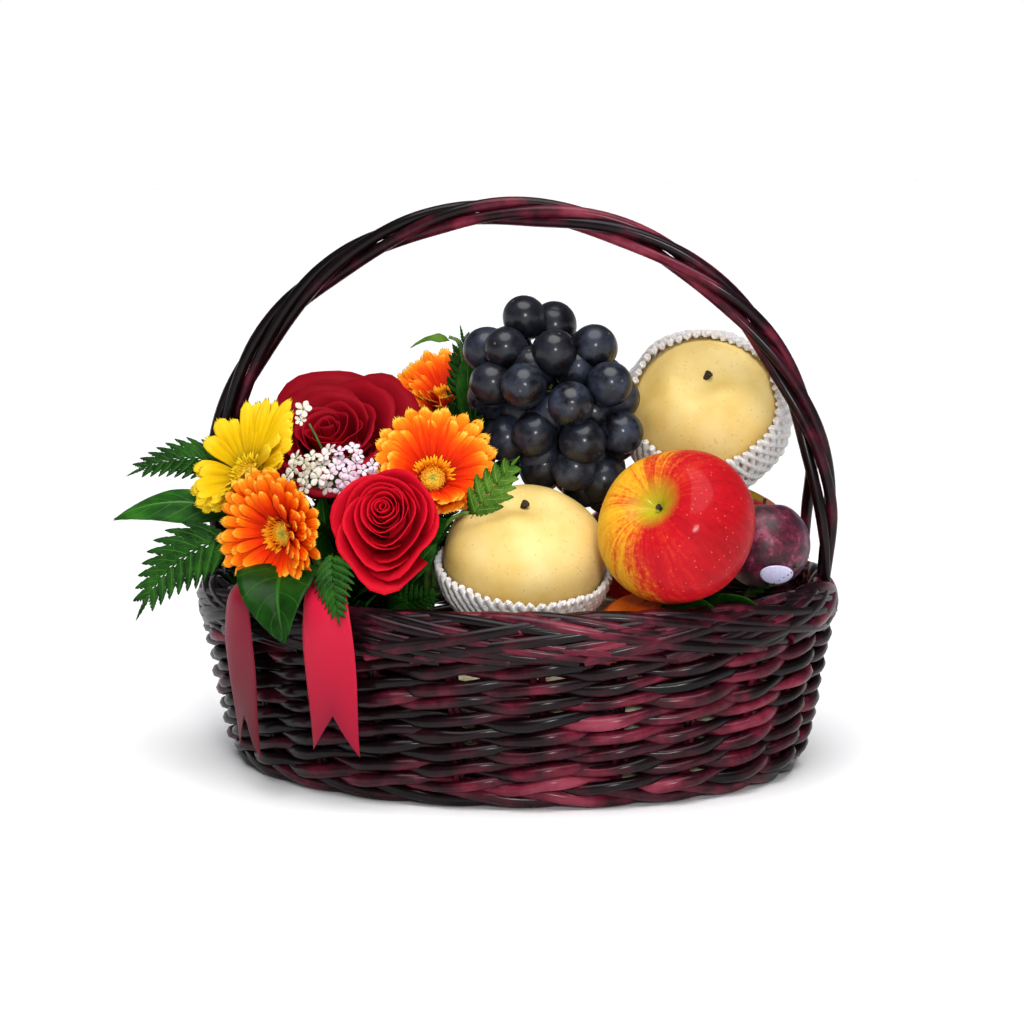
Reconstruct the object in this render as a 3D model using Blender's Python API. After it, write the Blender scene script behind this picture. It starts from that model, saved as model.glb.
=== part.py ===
"""Oval willow gift basket with an arched handle, filled with fruit and a bunch of cut flowers.

Frame: metres, +Z up. The origin is the middle of the basket's base, on the surface it stands on.
+X runs along the long axis of the oval, in the plane of the handle, and -Y is the front.
Sizes in this file are millimetres, turned to metres where a mesh is made.
"""

import math

import bmesh
import bpy
from mathutils import Matrix, Vector

MM = 0.001
TAU = 2 * math.pi
TOUCH_GAP = 0.4  # left between pieces that touch

# Basket: an oval whose half width stays a fixed amount below its half length
RIM_HALF_LENGTH = 186.0
RIM_HALF_WIDTH = 132.0
LENGTH_OVER_WIDTH = RIM_HALF_LENGTH - RIM_HALF_WIDTH
RIM_TOP = 111.0
RIM_BOTTOM = 90.0
BASE_HALF_LENGTH = 163.0
BASE_THICKNESS = 8.0
WALL_BOTTOM_MIDDLE = 161.5  # half length to the middle of the wall, at the base
WALL_FLARE = 0.175  # how far the wall leans out for each millimetre of height
WALL_HALF_THICKNESS = 4.2
WEAVE_ROWS = 8
WEAVE_RELIEF = 1.3
WALL_STEPS = 36
RIM_STEPS = 36
RIM_LAYS = 18  # rods that cross over the rim

# Handle: four rods twisted together, on an elliptical arch that stands in the rim
ARCH_HALF_SPAN = 177.0
ARCH_RISE = 174.5
ARCH_CENTRE_HEIGHT = 140.0
ROD_RADIUS = 3.1
ROD_GAP = 0.5
ROD_END_THINNING = 0.36
TWIST_LENGTH = 220.0
FOOT_X = 177.0
FOOT_HEIGHT = 95.0
FOOT_SOCKET_RADIUS = 5.8
SPLIT_HEIGHT = 192.0  # the fourth rod leaves the bundle below this
SPLIT_FOOT = (166.0, 27.0, 114.5)
ROD_STEPS = 26


# ---------------------------------------------------------------- scene and materials


def clear_scene():
    for found in list(bpy.data.objects):
        bpy.data.objects.remove(found, do_unlink=True)


def material(name, rgb, roughness, metallic=0.0):
    made = bpy.data.materials.new(name)
    made.use_nodes = True
    shader = made.node_tree.nodes["Principled BSDF"]
    shader.inputs["Base Color"].default_value = (*rgb, 1.0)
    shader.inputs["Roughness"].default_value = roughness
    shader.inputs["Metallic"].default_value = metallic
    return made


WILLOW = material("lacquered_willow", (0.032, 0.012, 0.014), 0.3)
PEAR_SKIN = material("pear_skin", (0.80, 0.62, 0.22), 0.45)
FOAM_NET = material("foam_net", (0.82, 0.79, 0.78), 0.7)
APPLE_SKIN = material("apple_skin", (0.60, 0.04, 0.04), 0.35)
PLUM_SKIN = material("plum_skin", (0.06, 0.012, 0.03), 0.5)
STICKER = material("fruit_sticker", (0.55, 0.52, 0.80), 0.4)
CITRUS_PEEL = material("orange_peel", (0.90, 0.30, 0.02), 0.5)
GRAPE_SKIN = material("grape_skin", (0.012, 0.012, 0.022), 0.4)
ROSE_PETAL = material("rose_petal", (0.45, 0.005, 0.02), 0.6)
ORANGE_PETAL = material("orange_gerbera_petal", (1.0, 0.20, 0.01), 0.6)
YELLOW_PETAL = material("yellow_gerbera_petal", (1.0, 0.68, 0.01), 0.6)
WHITE_FLORET = material("white_floret", (0.85, 0.78, 0.76), 0.7)
LEAF = material("leaf", (0.03, 0.14, 0.02), 0.5)
FERN = material("fern", (0.02, 0.10, 0.02), 0.6)
TISSUE = material("tissue_paper", (0.62, 0.60, 0.42), 0.8)
SATIN_RIBBON = material("satin_ribbon", (0.65, 0.02, 0.07), 0.4)


# ---------------------------------------------------------------- small helpers


def aim(azimuth, elevation):
    """Unit direction. Azimuth 0 is the front, 90 the right end, and elevation 90 straight up."""
    turn, rise = math.radians(azimuth), math.radians(elevation)
    return Vector((math.sin(turn) * math.cos(rise), -math.cos(turn) * math.cos(rise), math.sin(rise)))


def wave(*terms):
    """Sum of sines, each (size, angle): a gentle unevenness that repeats on each run."""
    return sum(size * math.sin(angle) for size, angle in terms)


def smoothstep(value):
    value = min(max(value, 0.0), 1.0)
    return value * value * (3 - 2 * value)


def place(obj, at, axis=None, spin=0.0):
    """Moves an object to a point in millimetres, its own +Z along axis, turned by spin about it."""
    turn = Matrix.Rotation(math.radians(spin), 4, "Z")
    if axis is not None:
        turn = Vector(axis).to_track_quat("Z", "Y").to_matrix().to_4x4() @ turn
    obj.matrix_world = Matrix.Translation(Vector(at) * MM) @ turn
    return obj


def finish_mesh(name, bm, skin, reshape=None, smooth_angle=50):
    """Turns a bmesh in millimetres into a named object, after reshape has moved each vertex."""
    if reshape is not None:
        for vert in bm.verts:
            vert.co = Vector(reshape(vert.co))
    bmesh.ops.recalc_face_normals(bm, faces=bm.faces)
    bmesh.ops.scale(bm, vec=(MM, MM, MM), verts=bm.verts)
    mesh = bpy.data.meshes.new(name)
    bm.to_mesh(mesh)
    bm.free()
    mesh.shade_smooth()
    mesh.set_sharp_from_angle(angle=math.radians(smooth_angle))
    mesh.materials.append(skin)
    made = bpy.data.objects.new(name, mesh)
    bpy.context.scene.collection.objects.link(made)
    return made


def ball(name, skin, segments, rings, reshape):
    """A unit sphere whose vertices reshape moves, given each as a unit vector."""
    bm = bmesh.new()
    bmesh.ops.create_uvsphere(bm, u_segments=segments, v_segments=rings, radius=1.0)
    return finish_mesh(name, bm, skin, reshape)


def turned_ring(name, skin, profile, steps, reshape):
    """A closed profile of (radius, height) points spun round Z. Its vertices are then reshaped."""
    bm = bmesh.new()
    corners = [bm.verts.new((radius, 0.0, height)) for radius, height in profile]
    edges = [bm.edges.new((corners[i - 1], corner)) for i, corner in enumerate(corners)]
    bmesh.ops.spin(
        bm, geom=corners + edges, cent=(0, 0, 0), axis=(0, 0, 1), angle=TAU, steps=steps, use_merge=True
    )
    bmesh.ops.remove_doubles(bm, verts=bm.verts, dist=0.001)
    return finish_mesh(name, bm, skin, reshape, smooth_angle=60)


def turned_solid(name, skin, profile, steps, reshape, smooth_angle=50):
    """An open profile from the axis back to the axis, spun round Z into a solid."""
    bm = bmesh.new()
    corners = [bm.verts.new((radius, 0.0, height)) for radius, height in profile]
    edges = [bm.edges.new((a, b)) for a, b in zip(corners, corners[1:])]
    bmesh.ops.spin(
        bm, geom=corners + edges, cent=(0, 0, 0), axis=(0, 0, 1), angle=TAU, steps=steps, use_merge=True
    )
    bmesh.ops.remove_doubles(bm, verts=bm.verts, dist=0.001)
    return finish_mesh(name, bm, skin, reshape, smooth_angle)


def oval(radius, angle, height):
    """A point of the basket's oval: radius is the half length there."""
    return Vector(
        (radius * math.cos(angle), (radius - LENGTH_OVER_WIDTH) * math.sin(angle), height)
    )


def helper(obj):
    """Marks an object that only cuts or joins another."""
    obj.hide_render = True
    obj.display_type = "WIRE"
    return obj


def boolean(target, other, operation):
    made = target.modifiers.new(operation.lower(), "BOOLEAN")
    made.operation = operation
    made.solver = "EXACT"
    made.object = helper(other)


def solidify(obj, thickness, offset):
    made = obj.modifiers.new("thickness", "SOLIDIFY")
    made.thickness = thickness * MM
    made.offset = offset


# ---------------------------------------------------------------- basket


def basket_base():
    """Woven floor with its twisted edge: a low oval plate that is flat underneath."""
    edge = BASE_HALF_LENGTH
    profile = [(0, 0), (edge - 4, 0), (edge, 3.2), (edge - 1.5, BASE_THICKNESS), (0, BASE_THICKNESS - 1)]

    def reshape(co):
        radius, angle = math.hypot(co.x, co.y), math.atan2(co.y, co.x)
        if radius < 1:
            return co
        if co.z > 0:
            radius += wave((0.8, 18 * angle + co.z))
        return oval(radius, angle, co.z)

    return turned_solid("basket_base", WILLOW, profile, WALL_STEPS, reshape)


def basket_wall():
    """Woven side: rows of rods that bulge in front of one stake and sink behind the next."""
    bottom, top = BASE_THICKNESS + TOUCH_GAP, RIM_BOTTOM - TOUCH_GAP
    row = (top - bottom) / WEAVE_ROWS
    outside = [(WALL_HALF_THICKNESS, bottom + i * row / 2) for i in range(2 * WEAVE_ROWS + 1)]
    inside = [(-WALL_HALF_THICKNESS, top - i * (top - bottom) / 2) for i in range(3)]

    def reshape(co):
        # Before reshaping, the spin radius is the depth in the wall plus the middle's half length.
        depth = math.hypot(co.x, co.y) - WALL_BOTTOM_MIDDLE
        angle = math.atan2(co.y, co.x)
        if depth > 0:
            half_rows = round((co.z - bottom) / row * 2)
            crest = 1 if half_rows % 2 else -1
            side = 1 if (half_rows // 2) % 2 else -1
            depth += WEAVE_RELIEF * (0.6 * crest + 0.5 * side * math.cos(WALL_STEPS / 2 * angle))
        return oval(WALL_BOTTOM_MIDDLE + WALL_FLARE * co.z + depth, angle, co.z)

    profile = [(WALL_BOTTOM_MIDDLE + depth, height) for depth, height in outside + inside]
    return turned_ring("basket_wall", WILLOW, profile, WALL_STEPS, reshape)


def rim_border():
    """Thick rods laid over each other round the rim, with a socket at each end for the handle."""
    half_depth = 8.0
    half_height = (RIM_TOP - RIM_BOTTOM) / 2
    middle = RIM_HALF_LENGTH - half_depth - 1
    centre = RIM_BOTTOM + half_height
    sides = 7
    profile = [
        (middle + half_depth * math.cos(TAU * i / sides), centre + half_height * math.sin(TAU * i / sides))
        for i in range(sides)
    ]

    def reshape(co):
        radius, angle = math.hypot(co.x, co.y), math.atan2(co.y, co.x)
        round_rim = math.atan2(co.z - centre, radius - middle)
        lift = wave((0.9, RIM_LAYS / 2 * angle + round_rim), (0.5, 3 * angle + 1))
        out = min(lift, 0.9) * math.cos(round_rim)
        return oval(radius + out, angle, co.z + lift * max(math.sin(round_rim), 0.0))

    rim = turned_ring("rim_border", WILLOW, profile, RIM_STEPS, reshape)
    for side in (-1, 1):
        bm = bmesh.new()
        bmesh.ops.create_cone(
            bm, cap_ends=True, segments=12, radius1=FOOT_SOCKET_RADIUS, radius2=FOOT_SOCKET_RADIUS, depth=40
        )
        cutter = finish_mesh(f"foot_socket_cutter_{side}", bm, WILLOW)
        place(cutter, (side * FOOT_X, 0, FOOT_HEIGHT - 0.6 + 20))
        boolean(rim, cutter, "DIFFERENCE")
    return rim


def handle_rod(index):
    """One of the four rods: a long helix about the arch, thinner at its two ends."""
    leg = ARCH_CENTRE_HEIGHT - FOOT_HEIGHT
    arc = math.pi * (ARCH_HALF_SPAN + ARCH_RISE) / 2
    whole = arc + 2 * leg
    splits = index == 3
    points, radii = [], []
    for step in range(ROD_STEPS + 1):
        along = whole * step / ROD_STEPS
        if along < leg or along > leg + arc:
            side = -1 if along < leg else 1
            drop = leg - min(along, whole - along)
            centre = Vector((side * ARCH_HALF_SPAN, 0, ARCH_CENTRE_HEIGHT - drop))
            outward = Vector((side, 0, 0))
        else:
            angle = math.pi * (1 - (along - leg) / arc)
            outward = Vector((math.cos(angle), 0, math.sin(angle)))
            centre = Vector((ARCH_HALF_SPAN * outward.x, 0, ARCH_CENTRE_HEIGHT + ARCH_RISE * outward.z))
        thin = 1 - ROD_END_THINNING * smoothstep((150 - centre.z) / 45)
        turn = TAU * (along / TWIST_LENGTH + index / 4)
        spread = (ROD_RADIUS * thin + ROD_GAP / 2) * math.sqrt(2)
        point = centre + spread * (math.cos(turn) * outward + math.sin(turn) * Vector((0, 1, 0)))
        if splits:
            side = -1 if centre.x < 0 else 1
            foot = Vector((side * SPLIT_FOOT[0], SPLIT_FOOT[1], SPLIT_FOOT[2]))
            apart = smoothstep((SPLIT_HEIGHT + 10 - centre.z) / 75)
            point = point.lerp(Vector((foot.x, foot.y, max(centre.z, foot.z))), apart)
            if centre.z < foot.z:
                continue
        points.append(point)
        radii.append(thin)
    return rod(f"handle_rod_{index + 1}", points, ROD_RADIUS, radii)


def rod(name, points, radius, radii):
    curve = bpy.data.curves.new(name, "CURVE")
    curve.dimensions = "3D"
    curve.bevel_depth = radius * MM
    curve.bevel_resolution = 1
    curve.use_fill_caps = True
    curve.materials.append(WILLOW)
    spline = curve.splines.new("POLY")
    spline.points.add(len(points) - 1)
    for target, point, scale in zip(spline.points, points, radii):
        target.co = (*(point * MM), 1.0)
        target.radius = scale
    spline.use_smooth = True
    made = bpy.data.objects.new(name, curve)
    bpy.context.scene.collection.objects.link(made)
    return made


# ---------------------------------------------------------------- fruit


def fruit_form(radius, half_height, top_dip, base_dip, shoulder=0.0, lobes=0.0, swell=0.0):
    """Returns reshape(unit vector) for a round fruit with a hollow at the stem and one below."""
    dip_width = 0.34 * radius

    def reshape(unit):
        flat = math.hypot(unit.x, unit.y)
        angle = math.atan2(unit.y, unit.x)
        out = (radius + swell) * flat * (1 + shoulder * unit.z + lobes * math.cos(5 * angle) * unit.z)
        height = (half_height + swell) * math.copysign(abs(unit.z) ** 0.9, unit.z)
        dip = math.exp(-((out / dip_width) ** 2))
        height -= dip * (top_dip if unit.z > 0 else -base_dip)
        return Vector((out * math.cos(angle), out * math.sin(angle), height))

    return reshape


def fruit(name, skin, at, form, axis, segments=16, rings=10, spin=0.0):
    return place(ball(name, skin, segments, rings, form), at, axis, spin)


def add_stem(body, skin, at, axis, start, length, radius):
    """A short stem joined to the fruit at the bottom of its hollow."""
    bm = bmesh.new()
    bmesh.ops.create_cone(
        bm, cap_ends=True, segments=6, radius1=radius, radius2=radius * 1.25, depth=length
    )
    bmesh.ops.translate(bm, vec=(0, 0, start + length / 2), verts=bm.verts)
    stem = place(finish_mesh(body.name + "_stem_helper", bm, skin), at, axis)
    boolean(body, stem, "UNION")


APPLE_FRONT_AT = (102.5, -75.0, 148.5)
APPLE_RIGHT_BACK_AT = (125.0, 44.0, 127.0)
APPLE_MIDDLE_AT = (66.0, 12.0, 120.0)
APPLE_LEFT_BACK_AT = (-14.0, 63.0, 108.0)
ORANGE_FRONT_AT = (85.0, -60.5, 78.0)
ORANGE_BACK_AT = (58.0, 74.0, 107.0)
PLUM_AT = (146.0, -24.0, 131.0)
PEAR = dict(radius=45.0, half_height=37.5, top_dip=10.0, base_dip=5.0, shoulder=0.02, lobes=0.012)
PEAR_FRONT_AT = (16.0, -52.0, 127.5)
PEAR_FRONT_AXIS = aim(8, 70)
PEAR_TOP_AT = (108.5, 34.0, 198.0)
PEAR_TOP_AXIS = aim(2, 46)
NET_THICKNESS = 4.6
NET_EDGE_WAVE = 0.03  # how far the wavy edge swings, as a share of the radius


def pear(name, at, axis):
    body = fruit(name, PEAR_SKIN, at, fruit_form(**PEAR), axis, segments=16, rings=10)
    add_stem(body, PEAR_SKIN, at, axis, start=PEAR["half_height"] - 13.5, length=11, radius=1.6)


def foam_sleeve(name, at, axis, opening, reach):
    """Foam net drawn up round a pear: a cup that follows it, open towards one side, with a wavy edge.

    opening is the direction that the cup opens to, and reach is how far along it the cup comes,
    as a share of the fruit's radius.
    """
    bm = bmesh.new()
    bmesh.ops.create_uvsphere(bm, u_segments=16, v_segments=10, radius=1.0)
    turn = axis.to_track_quat("Z", "Y").to_matrix()
    towards = turn.inverted() @ opening
    bmesh.ops.bisect_plane(
        bm,
        geom=bm.verts[:] + bm.edges[:] + bm.faces[:],
        plane_co=towards * reach,
        plane_no=towards,
        clear_outer=True,
    )
    form = fruit_form(swell=2 * TOUCH_GAP + NET_THICKNESS, **{**PEAR, "top_dip": 0.0, "base_dip": 0.0})
    for i, vert in enumerate(v for v in bm.verts if v.is_boundary):
        vert.co = (vert.co + towards * (NET_EDGE_WAVE if i % 2 else -NET_EDGE_WAVE)).normalized()
    net = place(finish_mesh(name, bm, FOAM_NET, form), at, axis)
    solidify(net, NET_THICKNESS - 0.7, -1)
    return net


def plum_form(unit):
    """Slightly long, with a shallow seam down one side."""
    angle = math.atan2(unit.y, unit.x)
    seam = 1 - 0.05 * math.exp(-((angle / 0.25) ** 2)) * math.hypot(unit.x, unit.y)
    return Vector((unit.x * 25 * seam, unit.y * 25 * seam, unit.z * 24.5))


def plum_and_sticker():
    fruit("plum", PLUM_SKIN, PLUM_AT, plum_form, aim(200, 80), 14, 9, spin=150)
    # An oval label a little proud of the skin, low on the side that faces front.
    bm = bmesh.new()
    bmesh.ops.create_circle(bm, cap_ends=True, segments=12, radius=1.0)
    bmesh.ops.inset_region(bm, faces=bm.faces[:], thickness=0.5)
    lift = 25.9
    label = finish_mesh(
        "plum_sticker",
        bm,
        STICKER,
        lambda co: Vector((9.5 * co.x, 6.5 * co.y, lift - (90.25 * co.x**2 + 42.25 * co.y**2) / 50)),
    )
    place(label, PLUM_AT, aim(20, -30), spin=-12)
    solidify(label, 0.5, 1)


def all_fruit():
    pear("pear_front", PEAR_FRONT_AT, PEAR_FRONT_AXIS)
    pear("pear_top", PEAR_TOP_AT, PEAR_TOP_AXIS)
    foam_sleeve("foam_net_front", PEAR_FRONT_AT, PEAR_FRONT_AXIS, opening=aim(25, 74), reach=-0.1)
    foam_sleeve("foam_net_top", PEAR_TOP_AT, PEAR_TOP_AXIS, opening=aim(0, 26), reach=0.5)

    apple = dict(radius=42.5, half_height=37.0, top_dip=13.0, base_dip=6.0, shoulder=0.07, lobes=0.02)
    fruit("apple_front", APPLE_SKIN, APPLE_FRONT_AT, fruit_form(**apple), aim(-28, 36))

    small = dict(top_dip=9.0, base_dip=4.0, shoulder=0.06, lobes=0.02)
    right = fruit_form(radius=28.5, half_height=27.0, **small)
    fruit("apple_right_back", APPLE_SKIN, APPLE_RIGHT_BACK_AT, right, aim(90, 70), 14, 9)
    middle = fruit_form(radius=29.0, half_height=28.5, **small)
    fruit("apple_middle", APPLE_SKIN, APPLE_MIDDLE_AT, middle, aim(-10, 75), 12, 8)
    rear = fruit_form(radius=36.0, half_height=33.0, **small)
    fruit("apple_left_back", APPLE_SKIN, APPLE_LEFT_BACK_AT, rear, aim(160, 62), 12, 8)

    low = fruit_form(34.0, 32.0, top_dip=1.5, base_dip=1.0)
    fruit("orange_front", CITRUS_PEEL, ORANGE_FRONT_AT, low, aim(0, 80), 14, 9)
    high = fruit_form(32.5, 31.0, top_dip=1.5, base_dip=1.0)
    fruit("orange_back", CITRUS_PEEL, ORANGE_BACK_AT, high, aim(140, 60), 12, 8)
    plum_and_sticker()


# ---------------------------------------------------------------- grapes

GRAPE_RADIUS = 12.6
BUNCH_CORE = (26.0, -2.0, 208.0)

# Each tier of the bunch: grapes in it, height, middle x and y, half widths in x and y, the
# direction of its first grape (0 is the right end, 270 the front), and how far neighbours
# stand above and below each other.
GRAPE_TIERS = (
    (2, 252.0, 16, 8, 10, 9, 222, -2.5),
    (7, 238.0, 20, -4, 32, 19, 183, 1),
    (9, 216.0, 27, -11, 38, 27, 268, -5),
    (8, 191.0, 34, -10, 35, 26, 200, 2),
    (5, 168.0, 36, -10, 20, 19, 205, 2),
)
FRONT_PEAR_REACH = 56.0  # least distance from the front pear's middle to a grape's
TOP_PEAR_REACH = 64.5  # the same for the upper pear in its net


def kept_clear(centre, other, least):
    """Moves a point straight away from other until it is at least this far off."""
    away = centre - Vector(other)
    return Vector(other) + away.normalized() * max(away.length, least)


def grapes():
    """Middle of each grape in the bunch, tier by tier, where the two pears leave room for it."""
    for count, height, x, y, half_x, half_y, start, zigzag in GRAPE_TIERS:
        for i in range(count):
            angle = math.radians(start + 360 * i / count)
            up = zigzag if i % 2 else -zigzag
            centre = Vector((x + half_x * math.cos(angle), y + half_y * math.sin(angle), height + up))
            centre = kept_clear(centre, PEAR_FRONT_AT, FRONT_PEAR_REACH)
            yield kept_clear(centre, PEAR_TOP_AT, TOP_PEAR_REACH)


def bunch_of_grapes():
    """The bunch as one solid: from its middle, each direction reaches out to the outermost grape."""
    middle = Vector(BUNCH_CORE)
    berries = [centre - middle for centre in grapes()]

    def reshape(unit):
        reach = 26.0
        for berry in berries:
            along = berry.dot(unit)
            inside = GRAPE_RADIUS**2 - (berry.length_squared - along**2)
            if along > 0 and inside > 0:
                reach = max(reach, along + math.sqrt(inside))
        return unit * reach

    place(ball("grape_bunch", GRAPE_SKIN, 26, 16, reshape), BUNCH_CORE)


# ---------------------------------------------------------------- flowers


def gerbera(name, skin, at, axis, radius, cup, petals=13, spin=0.0):
    """Daisy-shaped head: a ring of petals in a shallow cup round a raised eye, with a calyx behind."""
    profile = [
        (0, -9),
        (5, -8),
        (0.6 * radius, 0.28 * cup - 1.6),
        (radius, cup),
        (0.6 * radius, 0.28 * cup + 0.6),
        (8, 2.2),
        (0, 3.6),
    ]

    def reshape(co):
        flat, angle = math.hypot(co.x, co.y), math.atan2(co.y, co.x)
        if flat > 0.55 * radius:
            notch = 0.5 - 0.5 * math.cos(petals * angle)
            flat *= 1 - 0.2 * notch * (flat / radius) ** 2
            co = Vector((flat * math.cos(angle), flat * math.sin(angle), co.z - 2.0 * notch))
        return co + Vector((0, 0, 0.03 * flat * math.sin(2 * angle)))

    head = turned_solid(name, skin, profile, 2 * petals, reshape, smooth_angle=35)
    return place(head, at, axis, spin)


def rose(name, at, axis, radius, depth, segments, rings, spin=0.0):
    """Open rose: a cup of petals with a spiral of ridges on its face, pointed petals round its edge."""

    def reshape(unit):
        angle = math.atan2(unit.y, unit.x)
        flat = math.hypot(unit.x, unit.y)
        edge = radius * (0.93 + 0.07 * math.cos(5 * angle)) * flat**0.8
        if unit.z >= 0:
            whorl = math.cos(2.5 * angle + 9.0 * flat)
            height = 0.34 * depth * unit.z + 1.8 * whorl * min(flat * 2, 1) * unit.z
        else:
            edge *= 1 - 0.5 * abs(unit.z) ** 1.5
            height = 0.66 * depth * unit.z
        return Vector((edge * math.cos(angle), edge * math.sin(angle), height))

    return place(ball(name, ROSE_PETAL, segments, rings, reshape), at, axis, spin)


def floret_cluster():
    """Head of tiny white flowers: one low uneven heap, longer than it is deep."""

    def reshape(unit):
        bump = 1 + 0.1 * math.sin(9 * unit.x + 2) * math.cos(11 * unit.y + 1)
        return Vector((25 * unit.x * bump, 12.5 * unit.y * bump, 6.5 * unit.z * bump - 0.006 * unit.x))

    place(ball("floret_cluster", WHITE_FLORET, 14, 8, reshape), (-86.5, -76.0, 178.0), aim(6, 28), spin=3)


def floret_single():
    """One tiny flower with five petals that stands in front of the large rose."""

    def reshape(unit):
        angle = math.atan2(unit.y, unit.x)
        petal = 1 + 0.18 * math.cos(5 * angle)
        return Vector((4.6 * petal * unit.x, 4.6 * petal * unit.y, 2.2 * unit.z))

    place(ball("floret_single", WHITE_FLORET, 10, 6, reshape), (-106.0, -57.0, 206.5), aim(5, 20))


def all_flowers():
    gerbera("gerbera_orange_left", ORANGE_PETAL, (-114.0, -92.0, 150.5), aim(-13, 2), 33.5, 10)
    gerbera("gerbera_orange_right", ORANGE_PETAL, (-31.5, -55.5, 183.0), aim(16, 30), 32.0, 12)
    gerbera("gerbera_orange_back", ORANGE_PETAL, (-45.5, 46.0, 207.0), aim(20, 46), 33.0, 10)
    gerbera("gerbera_yellow", YELLOW_PETAL, (-138.0, -49.5, 178.0), aim(-30, 30), 39.0, 9, petals=14)
    rose("rose_front", (-53.0, -98.0, 149.5), aim(4, 26), 29.5, 40.0, 15, 9)
    rose("rose_back", (-97.0, -2.0, 188.5), aim(-2, 48), 46.0, 46.0, 18, 10, spin=20)
    floret_cluster()
    floret_single()


# ---------------------------------------------------------------- leaves


def blade(name, skin, start, control, tip, half_width, outline, side, steps, fold=0.15, thick=1.0):
    """Leaf blade: a strip along a curved rib from start to tip, its half width set by outline(0..1).

    side is the direction across the blade; fold lifts both edges above the rib.
    """
    start, control, tip, side = Vector(start), Vector(control), Vector(tip), Vector(side).normalized()
    bm = bmesh.new()
    bmesh.ops.create_grid(bm, x_segments=steps, y_segments=2, size=1.0)

    def reshape(co):
        along, across = (co.x + 1) / 2, co.y
        rib = start.lerp(control, along).lerp(control.lerp(tip, along), along)
        forward = (control.lerp(tip, along) - start.lerp(control, along)).normalized()
        over = (side - side.dot(forward) * forward).normalized()
        width = max(half_width * outline(along), 0.5)
        return rib + over * (across * width) + forward.cross(over) * (fold * width * abs(across))

    leaf = finish_mesh(name, bm, skin, reshape, smooth_angle=40)
    solidify(leaf, thick, 0)
    return leaf


def lance(along):
    return math.sin(math.pi * along**0.8) ** 0.8


def heart(along):
    return min(1.0, 5 * along) ** 0.5 * (1 - along**1.8) ** 0.8


def frond_outline(leaflets):
    """Fern: leaflets stand out from the rib one after another and get shorter to the tip."""

    def outline(along):
        tooth = abs(((along * leaflets) % 1.0) - 0.5) * 2
        return (1 - along) ** 0.7 * (0.3 + 0.7 * tooth)

    return outline


def all_leaves():
    def fern(name, start, control, tip, half_width, leaflets, side):
        outline = frond_outline(leaflets)
        blade(name, FERN, start, control, tip, half_width, outline, side, 2 * leaflets)

    def leaf(name, start, control, tip, half_width, outline, side):
        blade(name, LEAF, start, control, tip, half_width, outline, side, 7)

    # At the left end
    fern("fern_left_upper", (-166, -22, 176), (-188, -25, 182), (-213, -33, 170), 16, 7, (0, 0.3, 1))
    leaf("leaf_left_lance", (-158, -40, 148), (-188, -46, 160), (-221, -46, 145), 11, lance, (0, 1, 1))
    fern("fern_left_lower", (-152, -74, 131), (-178, -80, 131), (-197, -78, 98), 20, 7, (-0.5, 0.3, 1))
    # Over the front of the rim
    leaf("leaf_heart", (-112, -106, 134), (-113, -128, 122), (-106, -133, 95), 23, heart, (1, -0.3, 0))
    fern("fern_front", (-77, -116, 134), (-73, -131, 125), (-68, -135, 107), 12, 6, (1, -0.3, 0))
    # Between the flowers and the fruit
    fern("fern_middle", (-2, -88, 161), (7, -92, 174), (18, -88, 186), 12, 6, (0.8, 0.2, -0.6))
    leaf("leaf_back_top", (-38, 24, 222), (-38, 24, 249), (-62, 20, 236), 5, lance, (0.2, 1, 0.3))
    fern("fern_back_top", (-6, 56, 200), (-17, 54, 222), (-20, 40, 243), 12, 6, (1, 0.2, 0))


def greenery_bed():
    """Leaves and stems packed in the left half of the basket, one uneven mound under the flowers."""

    def reshape(unit):
        bump = 1 + wave((0.025, 7 * unit.x + 5 * unit.y), (0.025, 8 * unit.y - 6 * unit.z))
        return Vector((158 * unit.x * bump, 104 * unit.y * bump, 70 + 84 * unit.z * bump))

    mound = ball("greenery_bed", FERN, 24, 12, reshape)
    bm = bmesh.new()
    bmesh.ops.create_cube(bm, size=1.0)
    bmesh.ops.scale(bm, vec=(140, 260, 160), verts=bm.verts)
    kept = place(finish_mesh("greenery_bed_helper", bm, FERN), (-58 - 70, 0, BASE_THICKNESS + 1 + 80))
    boolean(mound, kept, "INTERSECT")
    return mound


# ---------------------------------------------------------------- packing

PACKING_TOP = 82.0
PACKING_LEFT = -54.0
PACKING_CLEARANCE = 3.5

# Fruit that the packing gives way to: its middle and the radius of its underside.
LOW_FRUIT = (
    (ORANGE_FRONT_AT, 42.5),
    (ORANGE_BACK_AT, 33.5),
    (APPLE_LEFT_BACK_AT, 37.0),
    (PEAR_FRONT_AT, 50.0),
)


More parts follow.
